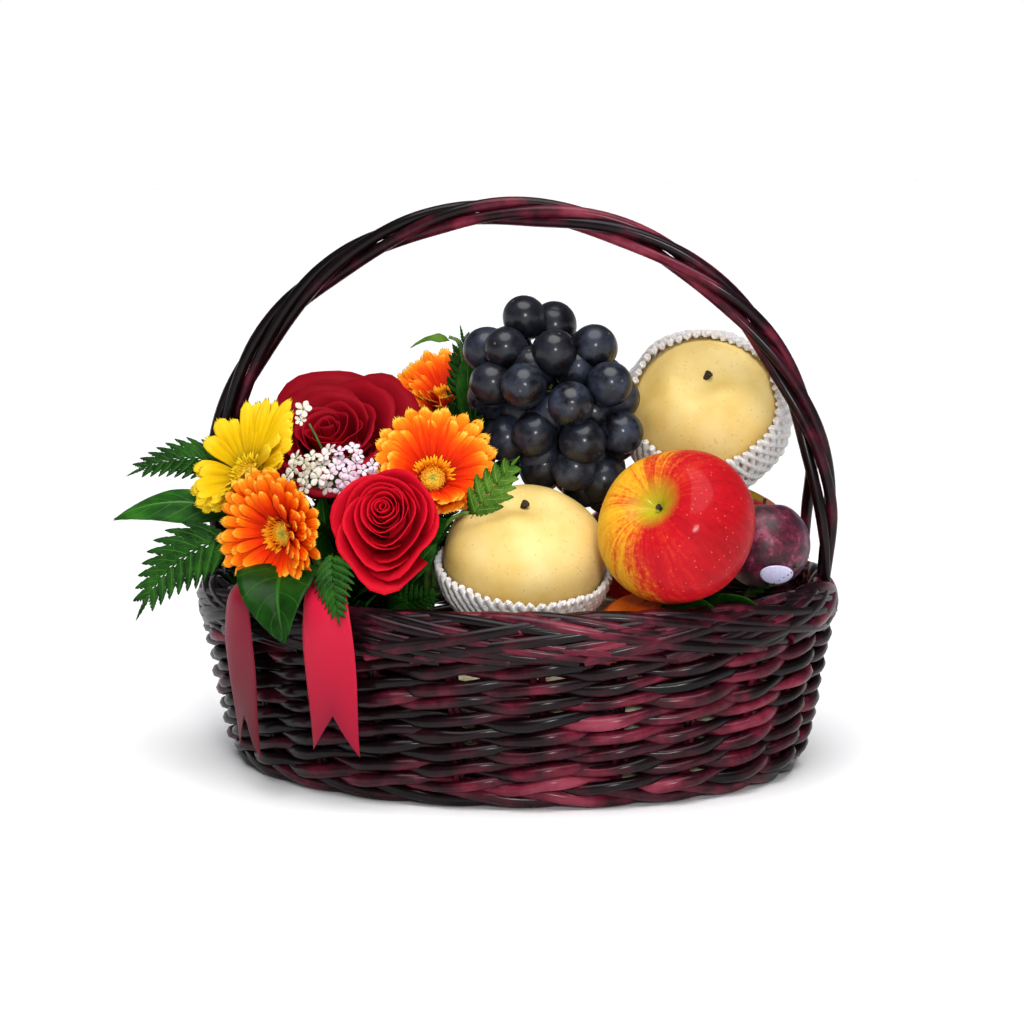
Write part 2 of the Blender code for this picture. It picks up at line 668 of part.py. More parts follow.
def packing_tissue():
    """Crumpled tissue in the right half of the basket, which the fruit sits in."""

    def top_at(x, y):
        height = PACKING_TOP + wave((1.5, 0.13 * x + 0.1 * y), (1.5, 0.11 * y - 0.09 * x))
        for (at_x, at_y, at_z), radius in LOW_FRUIT:
            off = math.hypot(x - at_x, y - at_y)
            under = at_z - math.sqrt(max((radius + PACKING_CLEARANCE) ** 2 - off**2, 0))
            if off < radius + PACKING_CLEARANCE:
                height = min(height, under)
        return height

    def reshape(unit):
        flat, angle = math.hypot(unit.x, unit.y), math.atan2(unit.y, unit.x)
        low = BASE_THICKNESS + TOUCH_GAP
        # The rings of the upper half close in on the middle, and those of the lower half are the side.
        share = flat**2 if unit.z > 0 else 1.0
        height = PACKING_TOP * (0.97 - 0.87 * min(-1.6 * unit.z, 1)) if unit.z < 0 else PACKING_TOP
        wall = WALL_BOTTOM_MIDDLE + WALL_FLARE * height - WALL_HALF_THICKNESS - 3.0
        at = oval(wall, angle, height)
        at.x, at.y = at.x * share, at.y * share
        if unit.z < -0.7:
            at.x, at.y = at.x * flat, at.y * flat
        at.z = top_at(at.x, at.y) if unit.z > 0 else max(height, low)
        return at

    tissue = ball("packing_tissue", TISSUE, 32, 14, reshape)
    bm = bmesh.new()
    bmesh.ops.create_cube(bm, size=1.0)
    bmesh.ops.scale(bm, vec=(260, 300, 200), verts=bm.verts)
    kept = place(finish_mesh("packing_tissue_helper", bm, TISSUE), (PACKING_LEFT + 130, 0, 100))
    boolean(tissue, kept, "INTERSECT")


# ---------------------------------------------------------------- ribbons


def ribbon(name, top, over, bottom, out, width, steps=8):
    """Satin tail: from under the leaves over the rim and straight down, cut to a swallowtail."""
    top, over, bottom, out = Vector(top), Vector(over), Vector(bottom), Vector(out).normalized()
    across = Vector((-out.y, out.x, 0))
    notch = 0.22
    bm = bmesh.new()
    bmesh.ops.create_grid(bm, x_segments=steps, y_segments=2, size=1.0)

    def reshape(co):
        along = (co.x + 1) / 2
        reach = along
        if along > 0.999:
            reach = 1.0 if abs(co.y) > 0.5 else 1 - notch
        line = top.lerp(over, reach / 0.16) if reach < 0.16 else over.lerp(bottom, (reach - 0.16) / 0.84)
        sway = 1.6 * math.sin(math.pi * reach * 1.6)
        half = width / 2 * (0.8 + 0.2 * smoothstep(reach / 0.4))
        return line + across * (half * co.y) + out * sway

    made = finish_mesh(name, bm, SATIN_RIBBON, reshape)
    solidify(made, 0.8, 0)
    return made


def all_ribbons():
    ribbon("ribbon_front", (-84, -118, 120), (-80, -128, 113), (-76, -127, 33), (-0.33, -0.94, 0), 31)
    ribbon("ribbon_left", (-126, -95, 120), (-134, -101, 112), (-132, -97, 23), (-0.72, -0.69, 0), 29)


# ---------------------------------------------------------------- build


def build():
    basket_base()
    basket_wall()
    rim_border()
    for index in range(4):
        handle_rod(index)
    all_fruit()
    bunch_of_grapes()
    all_flowers()
    all_leaves()
    greenery_bed()
    packing_tissue()
    all_ribbons()


clear_scene()
build()
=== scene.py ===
# %% [markdown]
# # A gift basket of fruit and cut flowers
# The basket is an oval tub woven from willow rods, stained near black and burgundy and lacquered, with a
# twisted hoop handle. Fruit fills its right half and a bunch of flowers its left half.
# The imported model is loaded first. It fixes where each thing is and how large, and every finished piece
# below takes the place of one of its plain solids.

# %% Load the frame
import math
import random

import bmesh
import bpy
from mathutils import Matrix, Vector, noise


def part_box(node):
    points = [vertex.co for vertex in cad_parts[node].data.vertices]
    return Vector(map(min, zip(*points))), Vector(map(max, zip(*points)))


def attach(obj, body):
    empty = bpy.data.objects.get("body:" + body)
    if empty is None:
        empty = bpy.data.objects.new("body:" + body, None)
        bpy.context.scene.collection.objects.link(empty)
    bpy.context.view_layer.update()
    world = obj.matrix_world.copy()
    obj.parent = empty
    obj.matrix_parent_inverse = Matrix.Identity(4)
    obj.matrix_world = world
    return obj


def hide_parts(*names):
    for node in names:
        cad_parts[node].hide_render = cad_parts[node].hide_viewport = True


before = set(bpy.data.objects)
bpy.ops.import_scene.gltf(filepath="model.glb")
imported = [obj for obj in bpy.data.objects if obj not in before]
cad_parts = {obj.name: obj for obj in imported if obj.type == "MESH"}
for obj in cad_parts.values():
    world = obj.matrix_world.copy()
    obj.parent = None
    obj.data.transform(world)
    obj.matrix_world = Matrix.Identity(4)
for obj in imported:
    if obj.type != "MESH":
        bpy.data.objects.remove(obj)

# Vector noise starts from the clock unless it has a seed, and the leaves must fall the same way on each run.
noise.seed_set(7)

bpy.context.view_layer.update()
MM = 0.001
TAU = 2 * math.pi
UP = Vector((0, 0, 1))

# %% [markdown]
# ## Light, floor and camera
# The basket stands on a wide white floor before white walls, under a dim ceiling: a white room on all
# sides would wash out the dark lacquer. An overhead bank of lamps, made as a sun with a very wide disc,
# lights the floor evenly and gives soft shadows. A small softbox beside the camera puts one small highlight
# on each grape and apple. The standard view transform keeps the colours of petals as strong as they are.

# %% Colours and shader nodes
def colour(text):
    """An sRGB hex value, such as #ff8800, as linear red, green, blue and alpha."""
    parts = [int(text[i : i + 2], 16) / 255 for i in (1, 3, 5)]
    return (*(c / 12.92 if c <= 0.04045 else ((c + 0.055) / 1.055) ** 2.4 for c in parts), 1.0)


def settled(thing, settings):
    """Gives a thing its settings, by name."""
    for name, value in settings.items():
        setattr(thing, name, value)
    return thing


def feed(node, inputs):
    """Fills a node's inputs, by name or in order, with nodes or sockets to link, hex colours or values."""
    for name, value in inputs.items() if isinstance(inputs, dict) else enumerate(inputs):
        if isinstance(value, bpy.types.Node):
            value = next(socket for socket in value.outputs if socket.enabled)
        if isinstance(value, bpy.types.NodeSocket):
            node.id_data.links.new(value, node.inputs[name])
        else:
            node.inputs[name].default_value = colour(value) if isinstance(value, str) else value


def add(tree, kind, inputs=(), stops=(), **settings):
    """Adds a shader node with its settings and inputs. stops are the places and colours of a ramp."""
    made = settled(tree.nodes.new("ShaderNode" + kind), settings)
    feed(made, inputs)
    for i, (place, shade) in enumerate(stops):
        ramp = made.color_ramp.elements
        settled(ramp[i] if i < len(ramp) else ramp.new(place), {"position": place, "color": colour(shade)})
    return made


def finish_named(name, **fixed):
    """A new material, its node tree and its Principled shader, with the values that are the same all over."""
    made = bpy.data.materials.new(name)
    made.use_nodes = True
    shader = made.node_tree.nodes["Principled BSDF"]
    feed(shader, {socket.replace("_", " "): value for socket, value in fixed.items()})
    return made, made.node_tree, shader


# %% Floor, lamps and camera
scene = bpy.context.scene
scene.view_settings.view_transform = "Standard"
scene.world = bpy.data.worlds.new("studio")
scene.world.use_nodes = True
sky = scene.world.node_tree
height = add(sky, "SeparateXYZ", [add(sky, "TexCoord").outputs["Generated"]]).outputs["Z"]
WALLS = [(0.0, "#ffffff"), (0.085, "#ffffff"), (0.2, "#7c7c82"), (1.0, "#4c4c54")]
feed(sky.nodes["Background"], {"Color": add(sky, "ValToRGB", [height], WALLS)})

bpy.ops.object.select_all(action="DESELECT")
bpy.ops.mesh.primitive_plane_add(size=60, location=(0, 0, 0))
floor = bpy.context.object
floor.name = "studio_floor"
floor_paint, tree, shader = finish_named("matt_white_sweep", Roughness=0.9)
grain = add(tree, "TexNoise", {"Scale": 3.0})
feed(shader, {"Base Color": add(tree, "ValToRGB", [grain], [(0.3, "#fdfdfd"), (0.7, "#ffffff")])})
floor.data.materials.append(floor_paint)


def lamp_named(name, kind, at, towards, energy, **settings):
    """A lamp that faces a point."""
    lamp = settled(bpy.data.lights.new(name, kind), {"energy": energy, **settings})
    holder = bpy.data.objects.new(name, lamp)
    scene.collection.objects.link(holder)
    holder.location = at
    holder.rotation_euler = (Vector(towards) - Vector(at)).to_track_quat("-Z", "Y").to_euler()


lamp_named("overhead_bank", "SUN", (0.15, -0.75, 2.4), (0, 0, 0), 3.3, angle=math.radians(52))
lamp_named("front_softbox", "AREA", (0.42, -1.35, 0.62), (0, 0, 0.14), 8, size=0.2)

DISTANCE, HEIGHT = 1.2, 0.3417
TURN, PITCH, ROLL = math.radians(10), math.radians(9.38), math.radians(-0.8)
lens = bpy.data.cameras.new("camera")
settled(lens, {"sensor_width": 36, "lens": 74.5, "clip_start": 0.05, "clip_end": 50})
camera = bpy.data.objects.new("camera", lens)
scene.collection.objects.link(camera)
camera.matrix_world = (
    Matrix.Translation((DISTANCE * math.sin(TURN), -DISTANCE * math.cos(TURN), HEIGHT))
    @ Matrix.Rotation(TURN, 4, "Z")
    @ Matrix.Rotation(math.pi / 2 - PITCH, 4, "X")
    @ Matrix.Rotation(ROLL, 4, "Z")
)
scene.camera = camera
print("camera", round(lens.lens, 1), "mm lens at", [round(c, 3) for c in camera.location])

# %% [markdown]
# ## Tools for every piece
# A piece is modelled at the origin, turned to face its own way and seated where its plain solid is: the
# middles of their two boxes are brought together. Its place then goes into its mesh, so that the object
# itself stays at the origin, unturned.

# %% Directions
def mm(*values):
    return Vector(values) * MM


def ray(turn):
    """The level direction at an angle round the upright."""
    return Vector((math.cos(turn), math.sin(turn), 0))


def aim(azimuth, elevation):
    """Unit direction. Azimuth 0 is the front, 90 the right end, and elevation 90 straight up."""
    turn, rise = math.radians(azimuth), math.radians(elevation)
    return Vector((math.sin(turn) * math.cos(rise), -math.cos(turn) * math.cos(rise), math.sin(rise)))


def facing(direction, spin=0.0):
    """The turn that brings +Z to a direction, after a spin about it in degrees."""
    turn = direction.to_track_quat("Z", "Y").to_matrix().to_4x4()
    return turn @ Matrix.Rotation(math.radians(spin), 4, "Z")


# %% Begin, join and seat a piece
def alone(*objects):
    """Deselects everything, then selects these objects and makes the first one active."""
    bpy.ops.object.select_all(action="DESELECT")
    for one in objects:
        one.select_set(True)
    bpy.context.view_layer.objects.active = objects[0]


def begun(shape, **settings):
    """A new piece from one of the mesh primitives."""
    alone(floor)
    getattr(bpy.ops.mesh, f"primitive_{shape}_add")(**settings)
    return bpy.context.object


def modified(piece, kind, **settings):
    """Adds a modifier to a piece and applies it."""
    alone(piece)
    modifier = settled(piece.modifiers.new(kind.lower(), kind), settings)
    bpy.ops.object.modifier_apply(modifier=modifier.name)
    return piece


def joined(parts, name):
    """Joins mesh objects into one."""
    alone(*parts)
    if len(parts) > 1:
        bpy.ops.object.join()
    parts[0].name = parts[0].data.name = name
    return parts[0]


def with_finish(piece, finish):
    piece.data.materials.append(finish)
    return piece


def moved(piece, by):
    """Moves a piece's mesh, and leaves the object itself at the origin."""
    piece.data.transform(Matrix.Translation(by))
    return piece


def box_of(piece):
    sides = list(zip(*(vert.co for vert in piece.data.vertices)))
    return Vector([min(side) for side in sides]), Vector([max(side) for side in sides])


def middle(node):
    low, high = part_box(node)
    return (low + high) / 2


def set_down(parts, goal, direction=None, spin=0.0):
    """Turns parts together, then moves them until the box of the first is round the goal."""
    if direction is not None:
        for part in parts:
            part.data.transform(facing(direction, spin))
    low, high = box_of(parts[0])
    move = goal - (low + high) / 2
    for part in parts:
        moved(part, move)
    return move


def keep_place(piece, name="local"):
    """Stores where each vertex is now, so that a pattern can follow the piece however it is turned later."""
    stored = piece.data.attributes.get(name) or piece.data.attributes.new(name, "FLOAT_VECTOR", "POINT")
    stored.data.foreach_set("vector", [c for vert in piece.data.vertices for c in vert.co])


def done(piece, name, finish, slot, *nodes, smooth=True):
    """Names a piece, gives it its finish, and hands it to the frame in place of the nodes it stands for."""
    piece.name = piece.data.name = name
    if finish is not None:
        piece.data.materials.clear()
        piece.data.materials.append(finish)
    if smooth:
        piece.data.shade_smooth()
    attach(piece, "root")
    if nodes:
        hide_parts(*nodes)
    piece.data.calc_loop_triangles()
    low, high = box_of(piece)
    size = [round((b - a) / MM, 1) for a, b in zip(low, high)]
    print(f"{name}: {len(piece.data.loop_triangles)} triangles, {size} mm")
    return piece

# %% [markdown]
# ## Lacquered willow
# The rods are peeled willow, soaked, woven and then sprayed with a burgundy stain under near black
# lacquer. The stain shows through where the lacquer is thin, in streaks that run along each rod. So the
# colour comes from noise that is stretched along the rod, and a second, slower noise decides which rods
# show more red. Towards both ends of the basket the colour is painted darker, as painted shade. A clear
# coat gives the hard, wet highlights.

# %% Patterns and relief
def drawn_out(tree, first, second, scale=1.0, detail=2.0, roughness=0.5):
    """Noise in a piece's own map, stretched by giving the map's two directions different scales."""
    uv = add(tree, "UVMap", uv_map="UVMap")
    lanes = add(tree, "Mapping", {"Vector": uv, "Scale": (first, second, 1.0)})
    return add(tree, "TexNoise", {"Vector": lanes, "Scale": scale, "Detail": detail, "Roughness": roughness})


def added(tree, base, *layers):
    """A value with patterns added to it, each with its own weight."""
    for pattern, weight in layers:
        base = add(tree, "Math", [pattern, weight, base], operation="MULTIPLY_ADD")
    return base


def product(tree, first, *others, **settings):
    for other in others:
        first = add(tree, "Math", [first, other], operation="MULTIPLY", **settings)
    return first


def coated(shader, tone, height=None, strength=0.0, depth=0.0, **settings):
    """Gives a shader its colour and, from a pattern of heights, its fine relief. depth is in metres."""
    feed(shader, {"Base Color": tone})
    if height:
        relief = {"Height": height, "Strength": strength, "Distance": depth}
        feed(shader, {"Normal": add(shader.id_data, "Bump", relief, **settings)})


def cloudy_finish(name, stops, scale, detail=3.0, strength=0.0, depth=0.0, **fixed):
    """A finish in which one noise in the piece's own space gives both the colour and the relief."""
    finish, tree, shader = finish_named(name, **fixed)
    place = add(tree, "TexCoord").outputs["Object"]
    cloud = add(tree, "TexNoise", {"Vector": place, "Scale": scale, "Detail": detail})
    coated(shader, add(tree, "ValToRGB", [cloud], stops), strength and cloud, strength, depth)
    return finish


# %% The willow finish
willow, tree, shader = finish_named(
    "lacquered_willow_rod", Roughness=0.36, Specular_IOR_Level=0.05, Coat_Weight=0.25, Coat_Roughness=0.2
)
# One unit of a rod's map is 10 mm, first round the rod and then along it.
streak = drawn_out(tree, 0.22, 0.19, 1.6, 4.0, 0.6)
both = add(tree, "Math", [streak, drawn_out(tree, 0.1, 0.06)], operation="ADD")
across = add(tree, "SeparateXYZ", [add(tree, "TexCoord").outputs["Object"]])
off = add(tree, "Math", [add(tree, "Math", [across, 0.05], operation="SUBTRACT")], operation="ABSOLUTE")
# Painted shade: the colour grows darker away from the middle, towards both ends of the basket.
painted_end_shade = add(tree, "MapRange", [off, 0.03, 0.17, 0.03, -0.05])
STAIN = [(0.41, "#090405"), (0.48, "#17080c"), (0.53, "#360d19"), (0.59, "#64182a"), (0.68, "#8a3648")]
stain = add(tree, "ValToRGB", [added(tree, painted_end_shade, (both, 0.5))], STAIN)
coated(shader, stain, drawn_out(tree, 9.0, 0.5, 2.0), 0.1, 0.0004)
print("willow finish:", len(tree.nodes), "nodes")

# %% [markdown]
# ## One willow rod
# A rod is a curve through its points with a round bevel, thinner where it tapers. Converting it to a mesh
# keeps a map that runs round and along it. The map is then scaled to real size and shifted by chance, so
# that no two rods carry the same streaks.

# %% Make a rod
vary = random.Random(7).uniform


def rod(points, radius, thin=None, closed=False, sides=3):
    """A round rod along points in metres. thin gives its thickness at each point, as a share of radius."""
    path = bpy.data.curves.new("rod", "CURVE")
    path.dimensions = "3D"
    path.bevel_depth, path.bevel_resolution = radius, sides - 1
    path.use_fill_caps = not closed
    spline = path.splines.new("POLY")
    spline.points.add(len(points) - 1)
    spline.use_cyclic_u = closed
    for target, at, share in zip(spline.points, points, thin or [1.0] * len(points)):
        target.co, target.radius = (*at, 1.0), share
    made = bpy.data.objects.new("rod", path)
    scene.collection.objects.link(made)
    alone(made)
    bpy.ops.object.convert(target="MESH")
    made = bpy.context.object
    length = sum((b - a).length for a, b in zip(points, points[1:]))
    shift = Vector((vary(0, 50), vary(0, 50)))
    for corner in made.data.uv_layers[0].data:
        # A converted curve counts its map's first value along the rod and its second one round it.
        corner.uv = Vector((corner.uv.y * TAU * radius, corner.uv.x * length)) / 0.01 + shift
    return made


# %% [markdown]
# ## The woven wall
# Upright stakes stand round the oval. In each row two rods twist round each other and round every stake,
# which basket makers call pairing: one passes in front of a stake while the other passes behind it, and
# between stakes they change over. What shows is a long slanted stroke over each stake.

# %% Measure the oval
base_low, base_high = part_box("basket_base")
wall_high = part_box("basket_wall")[1]
rim_low, rim_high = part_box("rim_border")
LENGTH_OVER_WIDTH = rim_high.x - rim_high.y
STAKES = 24
STAKE_SHIFT = math.radians(11)
LEAN = 0.175  # how far the wall leans out, as a share of its height
ROW_HEIGHT = 9.3 * MM


def oval(half_length, angle, height):
    half_width = half_length - LENGTH_OVER_WIDTH
    return Vector((half_length * math.cos(angle), half_width * math.sin(angle), height))


def within(point, limit):
    """Draws a point in, seen from above, to the oval with this half length."""
    share = math.hypot(point.x / limit, point.y / (limit - LENGTH_OVER_WIDTH))
    if share > 1:
        point.x, point.y = point.x / share, point.y / share


def wall_middle(height):
    """Half length of the oval to the middle of the wall."""
    return wall_high.x - 5.6 * MM - LEAN * (wall_high.z - height)


def drift(angle, seed, size):
    """A slow unevenness round the basket, the same after a full turn."""
    return size * noise.noise(Vector((1.7 * math.cos(angle), 1.7 * math.sin(angle), 3.1 * seed)))


# %% Weave the rows
FIRST_ROW = base_high.z + 6.0 * MM


def weaver(row, side):
    """One of the two rods of a row. side is 1 or -1, and the two cross between the stakes."""
    steps = STAKES * 12
    points, thin = [], []
    for step in range(steps):
        angle = TAU * step / steps
        phase = STAKES / 2 * (angle - STAKE_SHIFT) + (0 if row % 2 else math.pi)
        height = FIRST_ROW + row * ROW_HEIGHT + side * 2.3 * MM * math.sin(phase)
        height += drift(angle, row + 0.3 * side, 2.0 * MM) + drift(5 * angle, row + 2.3 * side, 1.3 * MM)
        out = side * (4.1 * MM * math.cos(phase)) + drift(angle, row + 40, 1.0 * MM)
        points.append(oval(wall_middle(height) + out, angle, height))
        thin.append(1 + drift(4 * angle, row + 9 * side, 0.5) + 0.07 * side * math.cos(phase))
    return rod(points, 3.5 * MM, thin, closed=True)


rows = int((wall_high.z - FIRST_ROW) / ROW_HEIGHT) + 1
weave = [weaver(row, side) for row in range(rows) for side in (1, -1)]
for index in range(STAKES):
    for beside in (-0.01, 0.01):
        lean = STAKE_SHIFT + TAU * index / STAKES + beside + vary(-0.004, 0.004)
        heights = [base_low.z + (9 + 10 * i) * MM for i in range(10)]
        stake = [oval(wall_middle(h) - 0.8 * MM, lean + vary(-0.002, 0.002), h) for h in heights]
        weave.append(rod(stake, 2.0 * MM, sides=2))
done(joined(weave, "weave"), "woven_wall", willow, "lacquered_willow", "basket_wall")

# %% [markdown]
# ## The foot and the floor of the basket
# Three thicker rods are twisted round the foot. The floor is woven from finer rods that run round and
# round the oval over a row of sticks. Curves again: closed ovals, each one a little smaller than the last.

# %% Foot and floor
FOOT_ROD, FLOOR_ROD = 3.9 * MM, 2.6 * MM


def foot_rod(index):
    steps = STAKES * 8
    points = []
    for step in range(steps):
        angle = TAU * step / steps
        turn = -STAKES / 3 * angle + TAU * index / 3
        height = base_low.z + 2.0 * FOOT_ROD + 0.95 * FOOT_ROD * math.sin(turn)
        half = base_high.x - 1.1 * FOOT_ROD + 0.9 * FOOT_ROD * math.cos(turn)
        points.append(oval(half, angle, height + drift(angle, 70 + index, 0.8 * MM)))
    return rod(points, FOOT_ROD, closed=True)


base = [foot_rod(index) for index in range(3)]
half = base_high.x - 8 * MM
rings = 0
while half > LENGTH_OVER_WIDTH + 4 * MM:
    lift = base_low.z + 3.4 * MM + 0.8 * MM * (rings % 2)
    ring = [oval(half, TAU * i / 72, lift + 0.8 * MM * math.cos(12 * TAU * i / 72)) for i in range(72)]
    base.append(rod(ring, FLOOR_ROD, closed=True, sides=2))
    half -= 5.4 * MM
    rings += 1
reach = base_high.x - 10 * MM
stick_height = base_low.z + 4.4 * MM
for x in (-0.5, -0.3, -0.1, 0.1, 0.3, 0.5):
    span = (reach - LENGTH_OVER_WIDTH) * math.sqrt(1 - x * x)
    base.append(rod([Vector((x * reach, side * span, stick_height)) for side in (-1, 0, 1)], FLOOR_ROD))
base.append(rod([Vector((side * reach, 0, stick_height)) for side in (-1, 0, 1)], FLOOR_ROD))
done(joined(base, "base"), "woven_floor", willow, "lacquered_willow", "basket_base")

# %% [markdown]
# ## The rim
# The ends of the stakes are laid down to the right in two courses. In the outer course each rod comes over
# the top and falls down outside, and in the top course each rod rises from outside and tucks in behind the
# next ones. Together they cross like a flat plait. Each rod gets thinner towards its tip.

# %% Lay the rim rods
rim_middle = rim_high.x - 9.6 * MM
# For each course, the way of one rod, with the name of each row first.
RIM_COURSES = (
    {
        "stakes passed": (0.0, 0.4, 0.9, 1.5, 2.4, 3.3, 4.1),
        "mm above the rim's underside": (12.0, 16.5, 16.0, 11.5, 5.0, -1.0, -5.5),
        "mm out from the rim's middle": (-4.5, -1.5, 2.6, 5.2, 6.2, 6.4, 3.5),
    },
    {
        "stakes passed": (0.0, 0.6, 1.4, 2.2, 3.0, 3.7, 4.1),
        "mm above the rim's underside": (-4.0, 2.0, 8.5, 14.2, 17.2, 15.5, 11.0),
        "mm out from the rim's middle": (3.0, 5.6, 5.8, 3.6, -0.5, -3.8, -5.0),
    },
)


def smooth_path(stations, steps):
    """Points at even steps along a row of stations, joined by a smooth curve."""
    found = []
    for step in range(steps + 1):
        place = (len(stations) - 1) * step / steps
        i = min(int(place), len(stations) - 2)
        t = place - i
        a, b, c, d = [Vector(stations[min(max(i + k, 0), len(stations) - 1)]) for k in (-1, 0, 1, 2)]
        curve = 2 * b + t * (c - a) + t * t * (2 * a - 5 * b + 4 * c - d) + t**3 * (3 * b - a - 3 * c + d)
        found.append(0.5 * curve)
    return found


def rim_rod(index, course, beside):
    """One rod of the rim. The rods lie in pairs, and beside is 0 or 1 for the two rods of a pair."""
    start = STAKE_SHIFT + TAU * (index + 0.5 * course + 0.5 * beside) / STAKES + vary(-0.02, 0.02)
    raised, thickness, slack = vary(-0.8, 0.8), vary(0.72, 1.08), vary(0.85, 1.25)
    points, thin = [], []
    for stakes, up, out in smooth_path(list(zip(*RIM_COURSES[course].values())), 34):
        angle = start + TAU * stakes * slack / STAKES
        height = rim_low.z + (up + raised) * MM + drift(angle, 90, 1.0 * MM)
        points.append(oval(rim_middle + out * MM, angle, height))
        thin.append(thickness * (1.0 - 0.08 * stakes))
    return rod(points, 4.3 * MM, thin)


rim_rods = [
    rim_rod(i, course, beside) for i in range(STAKES) for course in (0, 1) for beside in range(1 + i % 2)
]
# Two more rods run straight along under the courses, to close the top of the wall.
for height, out, wave in ((2.0, 0.0, 1.0), (7.5, 0.5, -1.0)):
    ring = []
    for step in range(STAKES * 6):
        angle = TAU * step / (STAKES * 6)
        sway = wave * 1.2 * math.sin(STAKES * angle)
        ring.append(oval(rim_middle + (out + sway) * MM, angle, rim_low.z + height * MM))
    rim_rods.append(rod(ring, 3.4 * MM, closed=True))
done(joined(rim_rods, "rim"), "rim_of_rods", willow, "lacquered_willow", "rim_border")

# %% [markdown]
# ## The handle
# Four long rods are twisted round each other into a hoop and pushed down into the wall at both ends. One
# of them leaves the bundle near the foot and enters the rim behind the others. Each rod is a long screw
# thread about an elliptical arch, so its points come from the arch's angle and the twist.

# %% Twist the handle
ARCH_HALF_SPAN, ARCH_RISE, ARCH_CENTRE = 177 * MM, 174.5 * MM, 140 * MM
HANDLE_ROD, ROD_GAP, TWIST = 3.35 * MM, 0.2 * MM, 220 * MM
FOOT_HEIGHT, SPLIT_HEIGHT = 95 * MM, 192 * MM
SPLIT_FOOT = mm(166, 27, 114.5)


def smoothstep(value):
    value = min(max(value, 0.0), 1.0)
    return value * value * (3 - 2 * value)


def handle_rod(index, steps=150):
    leg = ARCH_CENTRE - FOOT_HEIGHT
    arc = math.pi * (ARCH_HALF_SPAN + ARCH_RISE) / 2
    whole = arc + 2 * leg
    points, thin = [], []
    for step in range(steps + 1):
        along = whole * step / steps
        side = -1 if along < whole / 2 else 1
        if along < leg or along > leg + arc:
            centre = Vector((side * ARCH_HALF_SPAN, 0, ARCH_CENTRE - leg + min(along, whole - along)))
            outward = Vector((side, 0, 0))
        else:
            angle = math.pi * (1 - (along - leg) / arc)
            outward = Vector((math.cos(angle), 0, math.sin(angle)))
            centre = Vector((ARCH_HALF_SPAN * outward.x, 0, ARCH_CENTRE + ARCH_RISE * outward.z))
        share = 1 - 0.36 * smoothstep((150 * MM - centre.z) / (45 * MM))
        turn = TAU * (along / TWIST + index / 4) + 0.5 * noise.noise(Vector((9 * along, 0.7 * index, 0)))
        spread = (HANDLE_ROD * share + ROD_GAP / 2) * math.sqrt(2)
        point = centre + spread * (math.cos(turn) * outward + math.sin(turn) * Vector((0, 1, 0)))
        if index == 3:
            split = Vector((side * SPLIT_FOOT.x, SPLIT_FOOT.y, max(centre.z, SPLIT_FOOT.z)))
            point = point.lerp(split, smoothstep((SPLIT_HEIGHT + 10 * MM - centre.z) / (75 * MM)))
            if centre.z < SPLIT_FOOT.z - 12 * MM:
                continue
        points.append(point)
        thin.append(share * (1 + 0.12 * noise.noise(Vector((30 * along, 5.0 * index, 2)))))
    return rod(points, HANDLE_ROD, thin, sides=4)


for index in range(4):
    name = f"handle_willow_{index + 1}"
    done(handle_rod(index), name, willow, "lacquered_willow", f"handle_rod_{index + 1}")

# %% [markdown]
# ## Shaping by hand
# Fruit starts as a ball and is then pulled about with proportional editing: one vertex is grabbed, and its
# neighbours follow less the further off they are. That is how a dimple round a stem is made. A weak cloud
# displacement afterwards takes away the look of a perfect ball.

# %% Helpers for round fruit
def pull(piece, near, move, reach, falloff="SMOOTH"):
    """Moves the vertex closest to a point, and its neighbours out to reach, with soft falloff."""
    alone(piece)
    bpy.ops.object.mode_set(mode="EDIT")
    bpy.ops.mesh.select_mode(type="VERT")
    bpy.ops.mesh.select_all(action="DESELECT")
    mesh = bmesh.from_edit_mesh(piece.data)
    min(mesh.verts, key=lambda vert: (vert.co - Vector(near)).length).select = True
    mesh.select_flush_mode()
    bmesh.update_edit_mesh(piece.data)
    bpy.ops.transform.translate(
        value=move, use_proportional_edit=True, proportional_edit_falloff=falloff, proportional_size=reach
    )
    bpy.ops.object.mode_set(mode="OBJECT")


def uneven(piece, strength, size, seed=0):
    """Displaces a piece by a soft cloud pattern, so that it isn't a perfect ball."""
    cloud = bpy.data.textures.new("unevenness", "CLOUDS")
    cloud.noise_scale, cloud.noise_depth = size, 0
    moved(piece, (seed, 0, 0))
    modified(piece, "DISPLACE", texture=cloud, strength=strength, texture_coords="LOCAL")
    moved(piece, (-seed, 0, 0))


def round_fruit(radius, half_height, top_dip, base_dip, taper=0.0, lobes=0.0, seed=0, dip=("SMOOTH", 0.62)):
    """A round fruit at the origin with its stem up, in millimetres."""
    piece = begun("uv_sphere", segments=64, ring_count=48, radius=radius * MM)
    bpy.ops.object.mode_set(mode="EDIT")
    bpy.ops.transform.resize(value=(1, 1, half_height / radius))
    bpy.ops.object.mode_set(mode="OBJECT")
    top = half_height * MM
    for vert in piece.data.vertices:
        share = vert.co.z / top
        swell = 1 + taper * share + lobes * math.cos(5 * math.atan2(vert.co.y, vert.co.x)) * share
        vert.co.x *= swell
        vert.co.y *= swell
    pull(piece, (0, 0, top), (0, 0, -top_dip * MM), dip[1] * radius * MM, dip[0])
    pull(piece, (0, 0, -top), (0, 0, base_dip * MM), 0.5 * radius * MM)
    uneven(piece, 0.035 * radius * MM, radius * MM, seed)
    keep_place(piece)
    return piece


def stem(base, tip, radius, bend=0.0, flare=1.6):
    """A woody stem from base to tip, bent aside, thicker where it broke off the branch."""
    base, tip = mm(*base), mm(*tip)
    points = [base.lerp(tip, i / 8) + Vector((bend * MM * math.sin(math.pi * i / 8), 0, 0)) for i in range(9)]
    thin = [1.15, 1, 0.95, 0.92, 0.95, 1.0, 1.1, 0.5 * flare + 0.5, flare]
    return with_finish(rod(points, radius * MM, thin), woody)


